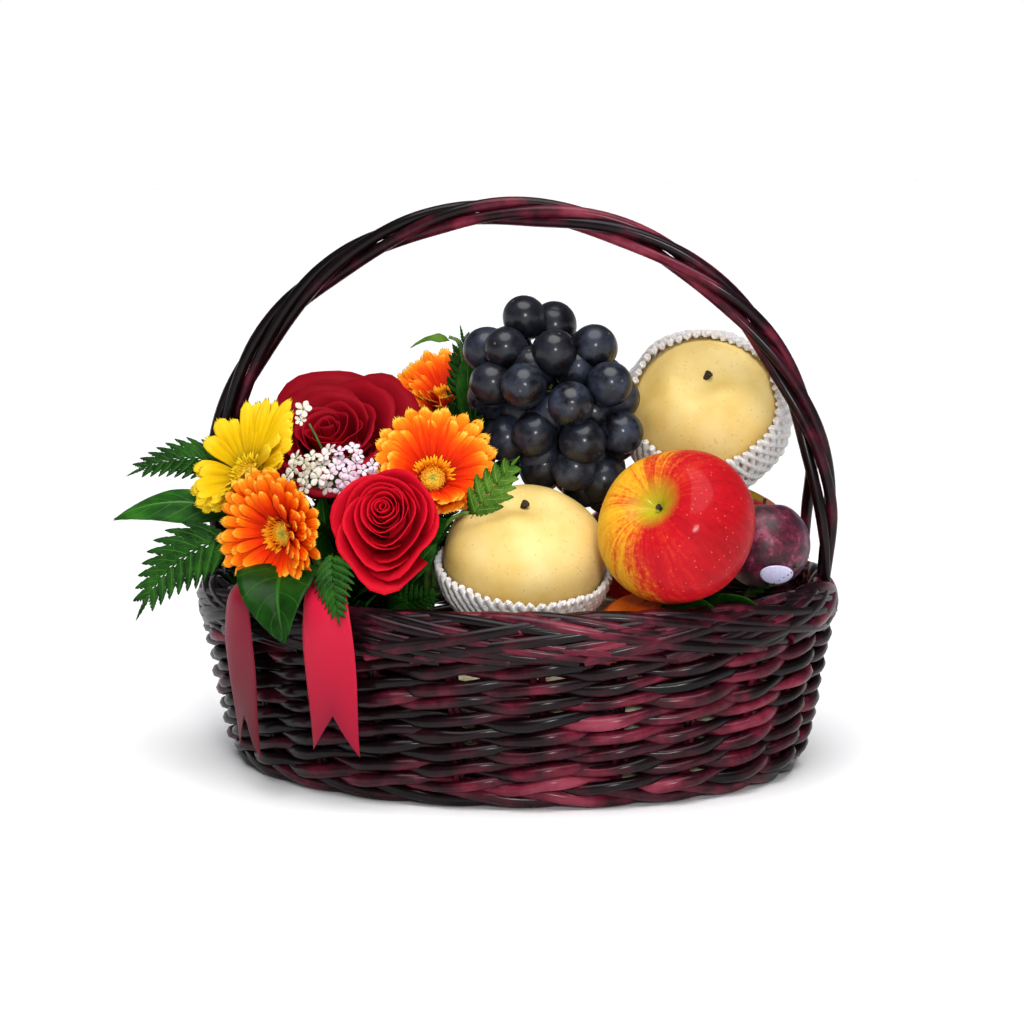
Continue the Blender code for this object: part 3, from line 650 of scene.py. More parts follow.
def with_stem(fruit, node, direction, twig, spin=0.0):
    """Seats a fruit with its stem, which stays a second material on the same mesh."""
    set_down([fruit, twig], middle(node), direction, spin)
    return joined([fruit, twig], node)


def stored(tree, name):
    return add(tree, "Attribute", attribute_name=name, attribute_type="GEOMETRY").outputs["Vector"]


def polar(tree):
    """The place on a fruit as it was modelled, the same split in three, and its part across the core."""
    where = stored(tree, "local")
    parts = add(tree, "SeparateXYZ", [where])
    return where, parts, add(tree, "CombineXYZ", [parts.outputs["X"], parts.outputs["Y"]])


def freckled(tree, where, scale, size, share, under, shade):
    """Small round spots over a colour. size is how far each one reaches, and share how strongly it shows."""
    pores = add(tree, "TexVoronoi", {"Vector": where, "Scale": scale})
    dot = add(tree, "Math", [pores, size], operation="LESS_THAN")
    return add(tree, "Mix", {0: product(tree, dot, share), 6: under, 7: shade}, data_type="RGBA")


# %% [markdown]
# ## Pears in foam nets
# These are round Asian pears with a thin, matt, straw yellow skin. It is freckled with small tan breathing
# pores, closer together round the stem, and slightly greener in the dimple. The stem is short and woody.

# %% Pear skin
pear_skin, tree, shader = finish_named(
    "matt_pear_skin",
    Roughness=0.5,
    Specular_IOR_Level=0.35,
    Subsurface_Weight=0.06,
    Subsurface_Scale=0.004,
    Subsurface_Radius=(1.0, 0.7, 0.2),
)
where, parts, flat = polar(tree)
cloudy = add(tree, "TexNoise", {"Vector": where, "Scale": 34.0, "Detail": 4.0, "Roughness": 0.55})
flesh = add(tree, "ValToRGB", [cloudy], [(0.30, "#d8b25a"), (0.48, "#e1c174"), (0.70, "#e8cf8c")])
green = add(tree, "MapRange", [parts.outputs["Z"], 0.022, 0.032, 0.0, 0.2])
tinted = add(tree, "Mix", {0: green, 6: flesh, 7: "#e2cf80"}, data_type="RGBA")
pore_size = add(tree, "TexNoise", {"Vector": where, "Scale": 260.0, "Detail": 1.0})
pore_size = add(tree, "MapRange", [pore_size, 0.42, 0.68, 0.05, 0.32])
coated(shader, freckled(tree, where, 430.0, pore_size, 0.42, tinted, "#c39a52"), cloudy, 0.12, 0.001)
BARK = [(0.35, "#160e08"), (0.55, "#34220f"), (0.75, "#5e4420")]
woody = cloudy_finish("woody_stem", BARK, 420.0, strength=0.5, depth=0.0006, Roughness=0.8)
print("pear finishes ready")

# %% Model the two pears
PEAR_RADIUS, PEAR_HALF_HEIGHT = 45.0, 37.5
PEARS = {"front": aim(8, 70), "top": aim(2, 46)}
for index, (which, direction) in enumerate(PEARS.items()):
    pear = round_fruit(PEAR_RADIUS, PEAR_HALF_HEIGHT, 6.0, 5.0, taper=0.03, lobes=0.016, seed=3 + index)
    for turn in (0.6, 2.5, 4.4):
        shoulder = mm(math.cos(turn) * 17, math.sin(turn) * 17, 33)
        pull(pear, shoulder, mm(0, 0, 2.2), 15 * MM)
    keep_place(pear)
    twig = stem((0, 0, 28), (1.6, -2.2, 34.8), 1.8, bend=-0.9, flare=1.35)
    pear = with_stem(with_finish(pear, pear_skin), f"pear_{which}", direction, twig, spin=50 * index)
    done(pear, f"asian_pear_{which}", None, "pear_skin", f"pear_{which}")

# %% [markdown]
# ## Foam nets
# Each pear sits in a sleeve of soft white foam netting. The real net is extruded as two sets of foam
# strands that are welded where they cross, so it is made the same way: strands that wind to the left and
# to the right round the fruit, meeting along the open edge in small points. Every strand is one round tube.

# %% Net finish
foam = cloudy_finish(
    "white_foam_strand",
    [(0.35, "#cfc9c6"), (0.6, "#e6e3e0")],
    500.0,
    2.0,
    0.35,
    0.0006,
    Roughness=0.75,
    Sheen_Weight=0.2,
    Subsurface_Weight=0.15,
    Subsurface_Scale=0.002,
)

# %% Wind the nets
NET_STRANDS, NET_STEPS = 50, 34


def pear_surface(unit, lift):
    """A point of the pear's outline in a direction, lifted off the skin."""
    out = (PEAR_RADIUS + lift) * math.hypot(unit.x, unit.y)
    height = (PEAR_HALF_HEIGHT + lift) * math.copysign(abs(unit.z) ** 0.9, unit.z)
    turn = math.atan2(unit.y, unit.x)
    return mm(out * math.cos(turn), out * math.sin(turn), height)


def foam_net(which, opening, reach, slack):
    """Strands from the open edge round to the far side. opening is the way that the sleeve opens."""
    turn = facing(PEARS[which]).to_3x3()
    towards = turn.inverted() @ opening
    side = towards.orthogonal().normalized()
    edge = math.acos(reach)
    strands = []
    for hand, index in [(hand, index) for hand in (1, -1) for index in range(NET_STRANDS)]:
        points = []
        for step in range(NET_STEPS + 1):
            share = step / NET_STEPS
            bend = edge + (math.radians(168) - edge) * share
            if step < 2:
                bend += 0.02 * noise.noise(Vector((index * 0.9, 4.0, reach)))
            around = TAU * (index / NET_STRANDS + hand * 0.145 * share)
            across = Matrix.Rotation(around, 3, towards) @ side
            unit = math.cos(bend) * towards + math.sin(bend) * across
            loose = noise.noise(unit * 2.3 + Vector((9.0 * reach, 0, 0)))
            points.append(turn @ pear_surface(unit, 1.9 + slack * (0.5 + loose) + 0.35 * hand))
        swell = [1 + 0.3 * noise.noise(Vector((0.9 * i, 2.3 * index, hand))) for i in range(len(points))]
        strands.append(rod(points, 1.75 * MM, swell, sides=2))
    net = joined(strands, "net")
    set_down([net], middle(f"foam_net_{which}"))
    done(net, f"foam_net_round_{which}_pear", foam, "foam_net", f"foam_net_{which}")


foam_net("front", aim(25, 74), -0.1, 1.6)
foam_net("top", aim(0, 26), 0.5, 2.4)

# %% [markdown]
# ## Apples
# The skin of these apples is golden underneath, with a red blush on the side that hung in the sun. The
# blush is laid on in streaks that run from stem to base, and tiny pale pores show in it. The streaks come
# from noise in the direction round the core, stretched along the height.

# %% Apple skin
BLUSH = [
    (0.3, "#e4b22a"), (0.395, "#de9a22"), (0.45, "#d0641e"),
    (0.505, "#c02c1c"), (0.58, "#b6121c"), (0.75, "#940a14"),
]


def apple_skin(name, sun, blush):
    """Skin with its red side towards a direction, in the fruit's own frame. blush widens the red."""
    skin, tree, shader = finish_named(
        name, Roughness=0.5, Specular_IOR_Level=0.05, Coat_Weight=0.1, Coat_Roughness=0.08
    )
    where, parts, flat = polar(tree)
    outward = add(tree, "VectorMath", [flat], operation="NORMALIZE")
    lane = add(tree, "CombineXYZ", {"Z": product(tree, parts.outputs["Z"], 5.0)})
    lanes = add(tree, "VectorMath", [outward, lane], operation="ADD")
    fine = add(tree, "TexNoise", {"Vector": lanes, "Scale": 13.0, "Detail": 5.0, "Roughness": 0.62})
    broad = add(tree, "TexNoise", {"Vector": lanes, "Scale": 2.6, "Detail": 2.0})
    stipple = add(tree, "TexNoise", {"Vector": where, "Scale": 420.0, "Detail": 3.0, "Roughness": 0.7})
    sunny = add(tree, "VectorMath", [where, tuple(sun / 0.042)], operation="DOT_PRODUCT")
    red = added(tree, blush + 0.05, (sunny, 0.42), (fine, 0.65), (stipple, 0.45), (broad, 0.5))
    tone = add(tree, "ValToRGB", [product(tree, red, 0.5)], BLUSH)
    # The hollow round the stem stays yellow green, with a ragged edge.
    core = add(tree, "VectorMath", [flat], operation="LENGTH")
    hollow = add(tree, "MapRange", [core, 0.003, 0.017, 1.0, 0.0])
    above = add(tree, "Math", [parts.outputs["Z"], 0.0], operation="GREATER_THAN")
    inside = product(tree, hollow, above, product(tree, fine, 1.3), 1.5, use_clamp=True)
    yellow = add(tree, "Mix", {0: inside, 6: tone, 7: "#a8a41c"}, data_type="RGBA")
    coated(shader, freckled(tree, where, 300.0, 0.12, 0.22, yellow, "#f2b07a"), fine, 0.05, 0.001)
    return skin


# %% Model the apples
# Where each apple faces, its size in mm, the dips, which way its sunny side points, and how wide its red is.
APPLES = {
    "front": (aim(-28, 36), 42.5, 37.0, 17.0, 6.0, aim(62, -2), 0.12),
    "right_back": (aim(90, 70), 28.5, 27.0, 8.5, 4.0, aim(-20, 40), 0.16),
    "middle": (aim(-10, 75), 29.0, 28.5, 8.5, 4.0, aim(0, 20), 0.5),
    "left_back": (aim(160, 62), 36.0, 33.0, 8.5, 4.0, aim(200, 10), 0.1),
}
for index, (which, (direction, radius, half_height, top, base, sun, blush)) in enumerate(APPLES.items()):
    own_sun = facing(direction).to_3x3().inverted() @ sun
    apple = round_fruit(
        radius, half_height, top, base, taper=0.07, lobes=0.02, seed=11 + index, dip=("SHARP", 0.75)
    )
    with_finish(apple, apple_skin(f"waxed_apple_skin_{which}", own_sun, blush))
    deep = half_height - top - 1
    twig = stem((0, 0, deep - 2), (1, 0, deep + 0.13 * radius), 0.026 * radius, bend=0.8)
    apple = with_stem(apple, f"apple_{which}", direction, twig)
    done(apple, f"apple_{which}_fruit", None, "apple_skin", f"apple_{which}")

# %% [markdown]
# ## Plum, its label and the oranges
# The plum is mottled dark purple and wine red under a dusty wax bloom, with a shallow seam down one side.
# An oval paper label sits low on its front; it is left plain. Orange peel has shallow pits about a
# millimetre across, which come from the cells of a Voronoi pattern.

# %% Plum and label
plum_skin, tree, shader = finish_named(
    "bloomed_plum_skin", Roughness=0.4, Specular_IOR_Level=0.3, Sheen_Weight=0.12, Sheen_Tint="#a08cb4"
)
local = stored(tree, "local")
mottle = add(tree, "TexNoise", {"Vector": local, "Scale": 120.0, "Detail": 5.0, "Roughness": 0.7})
PURPLES = [(0.36, "#1c0810"), (0.48, "#38101e"), (0.57, "#5c182e"), (0.66, "#823c54")]
coated(shader, add(tree, "ValToRGB", [mottle], PURPLES))
plum = round_fruit(25.0, 24.5, 3.0, 1.0, seed=21)
for turn in range(-4, 5):
    rise = math.radians(18 * turn)
    crease = Vector((math.cos(rise), 0, math.sin(rise))) * 0.025
    pull(plum, crease, Vector((-math.cos(rise), 0, 0)) * 0.0011, 0.006)
twig = stem((0, 0, 19), (1, 1, 25), 0.8)
plum = with_stem(with_finish(plum, plum_skin), "plum", aim(200, 80), twig, spin=150)
done(plum, "plum_fruit", None, "plum_skin", "plum")

label_paper = cloudy_finish(
    "coated_label_paper", [(0.3, "#c4c2e6"), (0.7, "#d8d6f2")], 900.0, 2.0, Roughness=0.35, IOR=1.5
)
label = begun("circle", vertices=40, radius=1.0, fill_type="NGON")
bpy.ops.object.mode_set(mode="EDIT")
for inset in (0.12, 0.2, 0.25, 0.2):
    bpy.ops.mesh.inset(thickness=inset, depth=0)
bpy.ops.object.mode_set(mode="OBJECT")
for vert in label.data.vertices:
    across, up = 9.5 * vert.co.x, 6.5 * vert.co.y
    vert.co = mm(across, up, -(across**2 + up**2) / 50)
modified(label, "SOLIDIFY", thickness=0.35 * MM, offset=1)
set_down([label], middle("plum_sticker"), aim(20, -30), -12)
done(label, "plain_fruit_label", label_paper, "fruit_sticker", "plum_sticker")

# %% Oranges
peel, tree, shader = finish_named("pitted_orange_peel", Roughness=0.4, IOR=1.46)
where = stored(tree, "local")
pits = add(tree, "TexVoronoi", {"Vector": where, "Scale": 620.0}, feature="SMOOTH_F1")
hue = add(tree, "TexNoise", {"Vector": where, "Scale": 40.0, "Detail": 3.0})
orange = add(tree, "ValToRGB", [hue], [(0.3, "#cc5202"), (0.55, "#dc6806"), (0.75, "#e67e10")])
coated(shader, orange, pits, 0.45, 0.0008)
for which, radius, direction in (("front", 34.0, aim(0, 80)), ("back", 32.5, aim(140, 60))):
    fruit = with_finish(round_fruit(radius, radius - 2, 2.5, 1.0, seed=31), peel)
    button = stem((0, 0, radius - 5.5), (0, 0, radius - 3.6), 1.8, flare=1.2)
    fruit = with_stem(fruit, f"orange_{which}", direction, button)
    done(fruit, f"orange_{which}_fruit", None, "orange_peel", f"orange_{which}")

# %% [markdown]
# ## Grapes
# A bunch of large black grapes leans on the pears. Each grape is a slightly long ball on a short green
# stalk, dark blue black under a pale wax bloom that is rubbed away in patches. A tiny brown scar marks the
# end away from the stalk. The bunch is laid out in tiers, one above the other, over a hidden core, and
# each grape points away from the core.

# %% Grape skin
grape_skin, tree, shader = finish_named(
    "bloomed_black_grape_skin", Specular_IOR_Level=0.22, Coat_Weight=0.3, Coat_Roughness=0.16
)
where, parts, flat = polar(tree)
own = stored(tree, "seed")
shifted = add(tree, "VectorMath", [where, own], operation="ADD")
dusty = add(tree, "TexNoise", {"Vector": shifted, "Scale": 95.0, "Detail": 5.0, "Roughness": 0.65})
own_bloom = add(tree, "SeparateXYZ", [own]).outputs["Z"]
bloom = product(tree, add(tree, "MapRange", [dusty, 0.4, 0.7, 0.0, 1.0]), own_bloom)
skin = add(tree, "Mix", {0: bloom, 6: "#0c0b10", 7: "#384052"}, data_type="RGBA")
core = add(tree, "VectorMath", [flat], operation="LENGTH")
scar = add(tree, "Math", [core, 0.0007], operation="LESS_THAN")
end = add(tree, "Math", [parts.outputs["Z"], 0.008], operation="GREATER_THAN")
coated(shader, add(tree, "Mix", {0: product(tree, scar, end), 6: skin, 7: "#5c5044"}, data_type="RGBA"))
feed(shader, {"Roughness": add(tree, "MapRange", [dusty, 0.35, 0.7, 0.27, 0.6])})
print("grape finish ready")

# %% Lay out the bunch
GRAPE = 12.7 * MM
bunch_core = mm(26, -2, 208)
# Each tier: grapes in it, height, middle across and in depth, half widths, direction of its first
# grape (0 is the right end, 270 the front), and how far neighbours stand above each other, in mm.
# The smaller tiers of four fill the gaps between the outer ones.
GRAPE_TIERS = (
    (2, 252.0, 16, 8, 10, 9, 222, -2.5),
    (7, 238.0, 20, -4, 32, 19, 183, 1),
    (4, 227.0, 22, -8, 19, 11, 250, 0),
    (9, 215.0, 27, -11, 38, 27, 250, -5),
    (4, 203.0, 29, -11, 20, 13, 262, 0),
    (8, 191.0, 34, -10, 35, 26, 200, 2),
    (4, 180.0, 35, -12, 17, 11, 215, 0),
    (6, 168.0, 37, -13, 20, 19, 215, 2),
    (2, 158.0, 48, -16, 9, 8, 215, 0),
)
# Fruit that the grapes lie against, and how near in mm their middles come to its middle.
NEIGHBOURS = (("pear_front", 57.0), ("apple_front", 54.0), ("pear_top", 64.5))

places = []
for count, height, x, y, half_x, half_y, start, zigzag in GRAPE_TIERS:
    for i in range(count):
        turn = math.radians(start + 360 * i / count)
        up = height + (zigzag if i % 2 else -zigzag)
        at = mm(x + half_x * math.cos(turn), y + half_y * math.sin(turn), up)
        for fruit, least in NEIGHBOURS:
            away = at - middle(fruit)
            at = middle(fruit) + away.normalized() * max(away.length, least * MM)
        places.append(at)

# %% Model the grapes and their stalks
grapes = []
for at in places:
    grape = begun("uv_sphere", segments=32, ring_count=20, radius=GRAPE * vary(0.95, 1.04))
    grape.data.transform(Matrix.Diagonal((1, 1, vary(1.03, 1.1), 1)))
    pull(grape, (0, 0, GRAPE), (0, 0, -0.5 * MM), 3 * MM)
    keep_place(grape)
    keep_place(grape, "seed")
    own_seed = Vector((vary(0, 9), vary(0, 9), vary(0.25, 1.0)))
    grape.data.attributes["seed"].data.foreach_set("vector", [*own_seed] * len(grape.data.vertices))
    outward = (at - bunch_core).normalized() + Vector((vary(-1, 1), vary(-1, 1), vary(-1.2, 0.2))) * 0.4
    grape.data.transform(Matrix.Translation(at) @ facing(outward.normalized()))
    grapes.append(with_finish(grape, grape_skin))
done(joined(grapes, "grapes"), "black_grapes", None, "grape_skin", "grape_bunch")

stalk_green = cloudy_finish(
    "grape_stalk", [(0.35, "#4a4a1c"), (0.55, "#6f7a30"), (0.75, "#8a6a3a")], 160.0, Roughness=0.6
)
stalks = []
for at in places:
    root = bunch_core + (at - bunch_core) * 0.15 + mm(0, 0, 6)
    path = [root.lerp(at, i / 5) + mm(0, 0, 5) * math.sin(math.pi * i / 5) for i in range(5)]
    stalks.append(rod(path, 1.0 * MM, sides=2))
stalks.append(rod([bunch_core + mm(0, 6, 30 - 14 * i) for i in range(6)], 2.2 * MM))
done(joined(stalks, "stalks"), "grape_stalks", stalk_green, "grape_skin")

# %% [markdown]
# ## Petals, leaves and how they are laid
# Every petal and leaf starts as a flat grid one unit long that reaches one unit to each side, with its
# outline, grooves and thickness already in it. It is modelled once. Each copy is then laid along its own
# curved rib, which is three points: where it starts, where it bends and where it ends.

# %% Lay a blade along a rib
def blade(outline, relief=None, steps=(12, 6), thickness=0.012, teeth=0.0):
    """A thin blade from x = 0 to 1 whose half width is outline(x), with grooves given by relief(x, y).

    teeth is how deep the notches between the three teeth of its tip are.
    """
    made = begun("grid", x_subdivisions=steps[0], y_subdivisions=steps[1], size=2)
    for vert in made.data.vertices:
        along, across = (vert.co.x + 1) / 2, vert.co.y
        height = relief(along, across) if relief else 0.0
        cut = teeth * (1 - math.cos(3 * math.pi * across)) / 2 if along > 0.99 else 0.0
        vert.co = (along - cut, across * max(outline(along), 0.03), height)
    return modified(made, "SOLIDIFY", thickness=thickness, offset=0)


def copy_of(piece):
    made = piece.copy()
    made.data = piece.data.copy()
    scene.collection.objects.link(made)
    return made


def laid(pattern, start, control, tip, half_width, side, fold=0.0, depth=None, ripple=0.0):
    """A copy of a blade laid along a bent rib. side is the way across, and fold lifts both edges."""
    start, control, tip, side = Vector(start), Vector(control), Vector(tip), Vector(side)
    made = copy_of(pattern)
    depth = depth or half_width
    shift = vary(0, 90)
    for vert in made.data.vertices:
        along, across, lift = vert.co
        first, second = start.lerp(control, along), control.lerp(tip, along)
        forward = (second - first).normalized()
        over = (side - side.dot(forward) * forward).normalized()
        wave = ripple * abs(across) * math.sin(9 * along + shift + (2 if across > 0 else 0))
        up = fold * abs(across) * half_width + lift * depth + wave * half_width
        vert.co = first.lerp(second, along) + over * (across * half_width) + forward.cross(over) * up
    return made


def tapered(along, widest, base, end, power=0.5):
    """Half width of a petal: grows from base to its widest place, then rounds off to end."""
    if along < widest:
        return base + (1 - base) * smoothstep(along / widest)
    return end + (1 - end) * max(1 - ((along - widest) / (1 - widest)) ** 2, 0) ** power


# %% [markdown]
# ## Gerberas
# A gerbera has many narrow strap petals in overlapping rows round a disc. The outer rows are long, a
# collar of very short petals stands round the disc, and the disc itself is a ring of yellow stamens with a
# green, still closed centre. Each petal has two shallow grooves along it and a blunt tip. The orange ones
# are red orange near the disc and yellow at the tips.

# %% Gerbera finishes
def petal_finish(name, stops, streaks=0.3):
    """Petal colour from base to tip, with fine veins along the petal."""
    finish, tree, shader = finish_named(
        name, Roughness=0.7, Specular_IOR_Level=0.07, Subsurface_Weight=0.06, Subsurface_Scale=0.002
    )
    along = add(tree, "SeparateXYZ", [add(tree, "UVMap", uv_map="UVMap")])
    vein = drawn_out(tree, 1.2, 13.0, detail=3.0)
    place = add(tree, "TexNoise", {"Vector": add(tree, "TexCoord").outputs["Object"], "Scale": 60.0})
    # Both patterns lie round 0.5, so half of each weight is taken off again.
    along = add(tree, "Math", [along, -0.5 * streaks - 0.15], operation="ADD")
    along = added(tree, along, (vein, streaks), (place, 0.3))
    coated(shader, add(tree, "ValToRGB", [along], stops), vein, 0.3, 0.0005)
    return finish


ORANGES = [(0.05, "#b01400"), (0.42, "#de2c00"), (0.68, "#ee5000"), (0.87, "#f98410"), (1.0, "#fcbe44")]
YELLOWS = [(0.05, "#8a6c02"), (0.28, "#c79c02"), (0.6, "#dfb002"), (0.98, "#ecc828")]
orange_petal = petal_finish("orange_gerbera_petal", ORANGES)
yellow_petal = petal_finish("yellow_gerbera_petal", YELLOWS, 0.5)
collar_petal = petal_finish("gerbera_collar_petal", [(0.05, "#c84602"), (0.5, "#ec8008"), (0.95, "#f4ae20")])

eye_finish, tree, shader = finish_named("gerbera_disc", Roughness=0.7)
where = stored(tree, "local")
core = add(tree, "VectorMath", [where], operation="LENGTH")
seeds = add(tree, "TexVoronoi", {"Vector": where, "Scale": 900.0})
ring = product(tree, added(tree, core, (seeds, 0.002)), 90.0)
DISC = [(0.12, "#566c1e"), (0.3, "#98a636"), (0.42, "#d8ac1c"), (0.8, "#eea812")]
coated(shader, add(tree, "ValToRGB", [ring], DISC), seeds, 0.8, 0.001)
green_stem = cloudy_finish("soft_flower_stem", [(0.35, "#33591f"), (0.65, "#5f8a36")], 200.0, Roughness=0.55)
print("gerbera finishes ready")

# %% Tools for flower heads
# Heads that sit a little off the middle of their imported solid.
SHIFTS = {
    "gerbera_orange_left": mm(-1, -9, -4.5),
    "gerbera_orange_right": mm(-3, 5, -8),
    "gerbera_yellow": mm(-2, 0, 0),
    "gerbera_orange_back": mm(-3, 11, -3),
    "rose_back": mm(-4, 0, -3),
}
GOLDEN_ANGLE = 2.39996
flower_faces = []


def head_seated(parts, node, direction, radius):
    """Seats the parts of a flower head. Its face is noted, so that no leaf is put before it."""
    at = middle(node) + SHIFTS.get(node, mm(0, 0, 0))
    flower_faces.append((at, direction, radius * MM))
    move = set_down(parts, at, direction)
    return joined(parts, node), move


# %% Model one petal and the gerbera heads
strap = blade(
    lambda s: tapered(s, 0.72, 0.42, 0.42),
    lambda s, t: 0.16 * math.cos(TAU * t) * (1 - s) ** 0.3 - 0.10 * t * t,
    (9, 6),
    0.09,
    0.075,
)
sliver = blade(lambda s: tapered(s, 0.5, 0.6, 0.2), None, (3, 2), 0.5)
EYE = 7.4


def gerbera(node, direction, radius, cup, skin, spin, rows, width, gathered):
    """A gerbera head, rows of petals being (count, start, share of the radius, share of the cup).

    gathered is the side, in degrees round the disc, on which the petals stand up and look short,
    and how much, as the head is never an even plate.
    """
    towards, share = math.radians(gathered[0]), gathered[1]
    petals = []
    for count, start, reach, rise in rows:
        for index in range(count):
            turn = TAU * (index + vary(-0.22, 0.22)) / count + spin
            out = ray(turn)
            lean = math.cos(turn - towards) * share
            long = radius * reach * vary(0.92, 1.04) * (1 - 0.34 * lean)
            high = cup * rise * vary(0.7, 1.25) * (1 + 1.1 * lean)
            droop = vary(-1.5, 1.2)
            first = out * start + UP * (0.12 * high)
            bend = out * (start + 0.55 * (long - start)) + UP * (0.75 * high + 0.8)
            tip = out * long + UP * (high + droop)
            side = UP.cross(out) + UP * vary(-0.22, 0.22)
            half = 0.5 * width * vary(0.9, 1.1) * (0.55 + 0.45 * reach)
            petals.append(laid(strap, first * MM, bend * MM, tip * MM, half * MM, side, ripple=0.12))
    head = with_finish(joined(petals, node), skin)

    collar = []

    def small_petal(out, first, bend, tip, half):
        collar.append(laid(sliver, first * MM, bend * MM, tip * MM, half * MM, UP.cross(out), depth=0.4 * MM))

    for index in range(84):
        out = ray(TAU * (index + vary(-0.3, 0.3)) / 42)
        outer = index >= 42
        start, long = EYE - 0.4, EYE + vary(2.2, 4.0) + 2.6 * outer
        rise = vary(2.4, 4.6) - 0.6 * outer
        tip = out * long + UP * (rise + vary(-0.8, 1.2))
        small_petal(out, out * start, out * (start + 1.6) + UP * rise, tip, 0.7 + 0.3 * outer)
    for index in range(54):
        far = EYE * (0.5 + 0.45 * (index / 54))
        out = ray(GOLDEN_ANGLE * index)
        tip = out * (far + 0.7) + UP * vary(3.4, 4.8)
        small_petal(out, out * far, out * far + UP * 1.8, tip, 0.55)
    collar = with_finish(joined(collar, "collar"), yellow_petal if skin == yellow_petal else collar_petal)

    eye = begun("uv_sphere", segments=32, ring_count=16, radius=EYE * MM)
    eye.data.transform(Matrix.Diagonal((1, 1, 0.42, 1)))
    pull(eye, (0, 0, 0.42 * EYE * MM), (0, 0, -1.3 * MM), 2.8 * MM)
    uneven(eye, 1.2 * MM, 1.1 * MM, 2)
    keep_place(eye)
    neck = [mm(0, 0, -z) for z in (0.5, 3, 6, 9, 12)]
    calyx = with_finish(rod(neck, 7.5 * MM, [1.0, 0.9, 0.62, 0.38, 0.28], sides=4), green_stem)
    return head_seated([head, collar, with_finish(eye, eye_finish), calyx], node, direction, radius)


SHAGGY = ((30, 8, 1.0, 0.75), (28, 7.5, 0.96, 0.95), (26, 7, 0.86, 1.15), (22, 7, 0.7, 1.3))
FULL = ((26, 8, 1.0, 0.75), (24, 7.5, 0.95, 1.0), (22, 7, 0.82, 1.25))
SPARSE = ((18, 8, 1.0, 0.75), (16, 7.5, 0.95, 1.0), (14, 7, 0.8, 1.2))
GERBERAS = {
    "gerbera_orange_left": (aim(-18, 2), 36.0, 11, orange_petal, 0.1, SHAGGY, 6.4, (0, 0.5)),
    "gerbera_orange_right": (aim(14, 24), 34.0, 8.5, orange_petal, 0.4, FULL, 8.6, (-105, 0.9)),
    "gerbera_orange_back": (aim(8, 40), 31.0, 9, orange_petal, 0.2, SHAGGY, 6.0, (-100, 1.2)),
    "gerbera_yellow": (aim(-30, 30), 38.0, 9, yellow_petal, 0.0, SPARSE, 9.6, (-55, 1.1)),
}
flower_feet = {}
for node, (direction, *form) in GERBERAS.items():
    head, root = gerbera(node, direction, *form)
    flower_feet[node] = root - direction * 11 * MM
    slot = "yellow_gerbera_petal" if "yellow" in node else "orange_gerbera_petal"
    done(head, node + "_flower", None, slot, node)

# %% [markdown]
# ## Roses
# A rose is a spiral of cupped petals. The innermost are rolled tight round each other, each further ring
# stands more open, and the outermost bend back and end in a soft point. Each petal is a grid wrapped partly
# round the axis, with its top edge turned outwards, and one side tucked under its neighbour.

# %% Rose finishes
def rose_finish(name, dark, mid, bright):
    finish, tree, shader = finish_named(
        name,
        Roughness=0.6,
        Specular_IOR_Level=0.07,
        Sheen_Weight=0.02,
        Sheen_Roughness=0.35,
        Sheen_Tint="#e03050",
    )
    up = add(tree, "SeparateXYZ", [add(tree, "UVMap", uv_map="UVMap")]).outputs["Y"]
    vein = drawn_out(tree, 22.0, 1.5, detail=3.0)
    place = add(tree, "TexCoord").outputs["Object"]
    patch = add(tree, "TexNoise", {"Vector": place, "Scale": 70.0, "Detail": 2.0})
    # Painted shade: each petal is darker towards its base, deep inside the bloom, and brightest at its lip.
    mixed = product(tree, added(tree, up, (vein, 0.2), (patch, 0.4)), 0.62)
    tone = add(tree, "ValToRGB", [mixed], [(0.25, dark), (0.55, mid), (0.85, bright)])
    coated(shader, tone, vein, 0.15, 0.0005)
    return finish


bright_rose = rose_finish("velvet_rose_petal", "#54000a", "#ae061a", "#cc0e26")
deep_rose = rose_finish("deep_velvet_rose_petal", "#320006", "#7e0412", "#9c081c")
print("rose finishes ready")

# %% Model the roses
flat_petal = begun("grid", x_subdivisions=14, y_subdivisions=10, size=2)

# Each ring: petals, share of the rose's radius at the lip, part of a turn each petal covers,
# and how far the lip turns outwards.
OPEN_ROSE = (
    (2, 0.07, 0.95, 0.0),
    (3, 0.14, 0.62, 0.01),
    (3, 0.21, 0.58, 0.02),
    (3, 0.3, 0.56, 0.03),
    (4, 0.42, 0.5, 0.05),
    (3, 0.58, 0.52, 0.07),
    (3, 0.78, 0.5, 0.11),
    (4, 0.97, 0.44, 0.15),
)
BROAD_ROSE = (
    (2, 0.08, 0.9, 0.0),
    (3, 0.16, 0.6, 0.02),
    (3, 0.26, 0.54, 0.04),
    (4, 0.38, 0.46, 0.06),
    (4, 0.52, 0.42, 0.1),
    (5, 0.7, 0.36, 0.16),
    (5, 0.9, 0.34, 0.22),
)


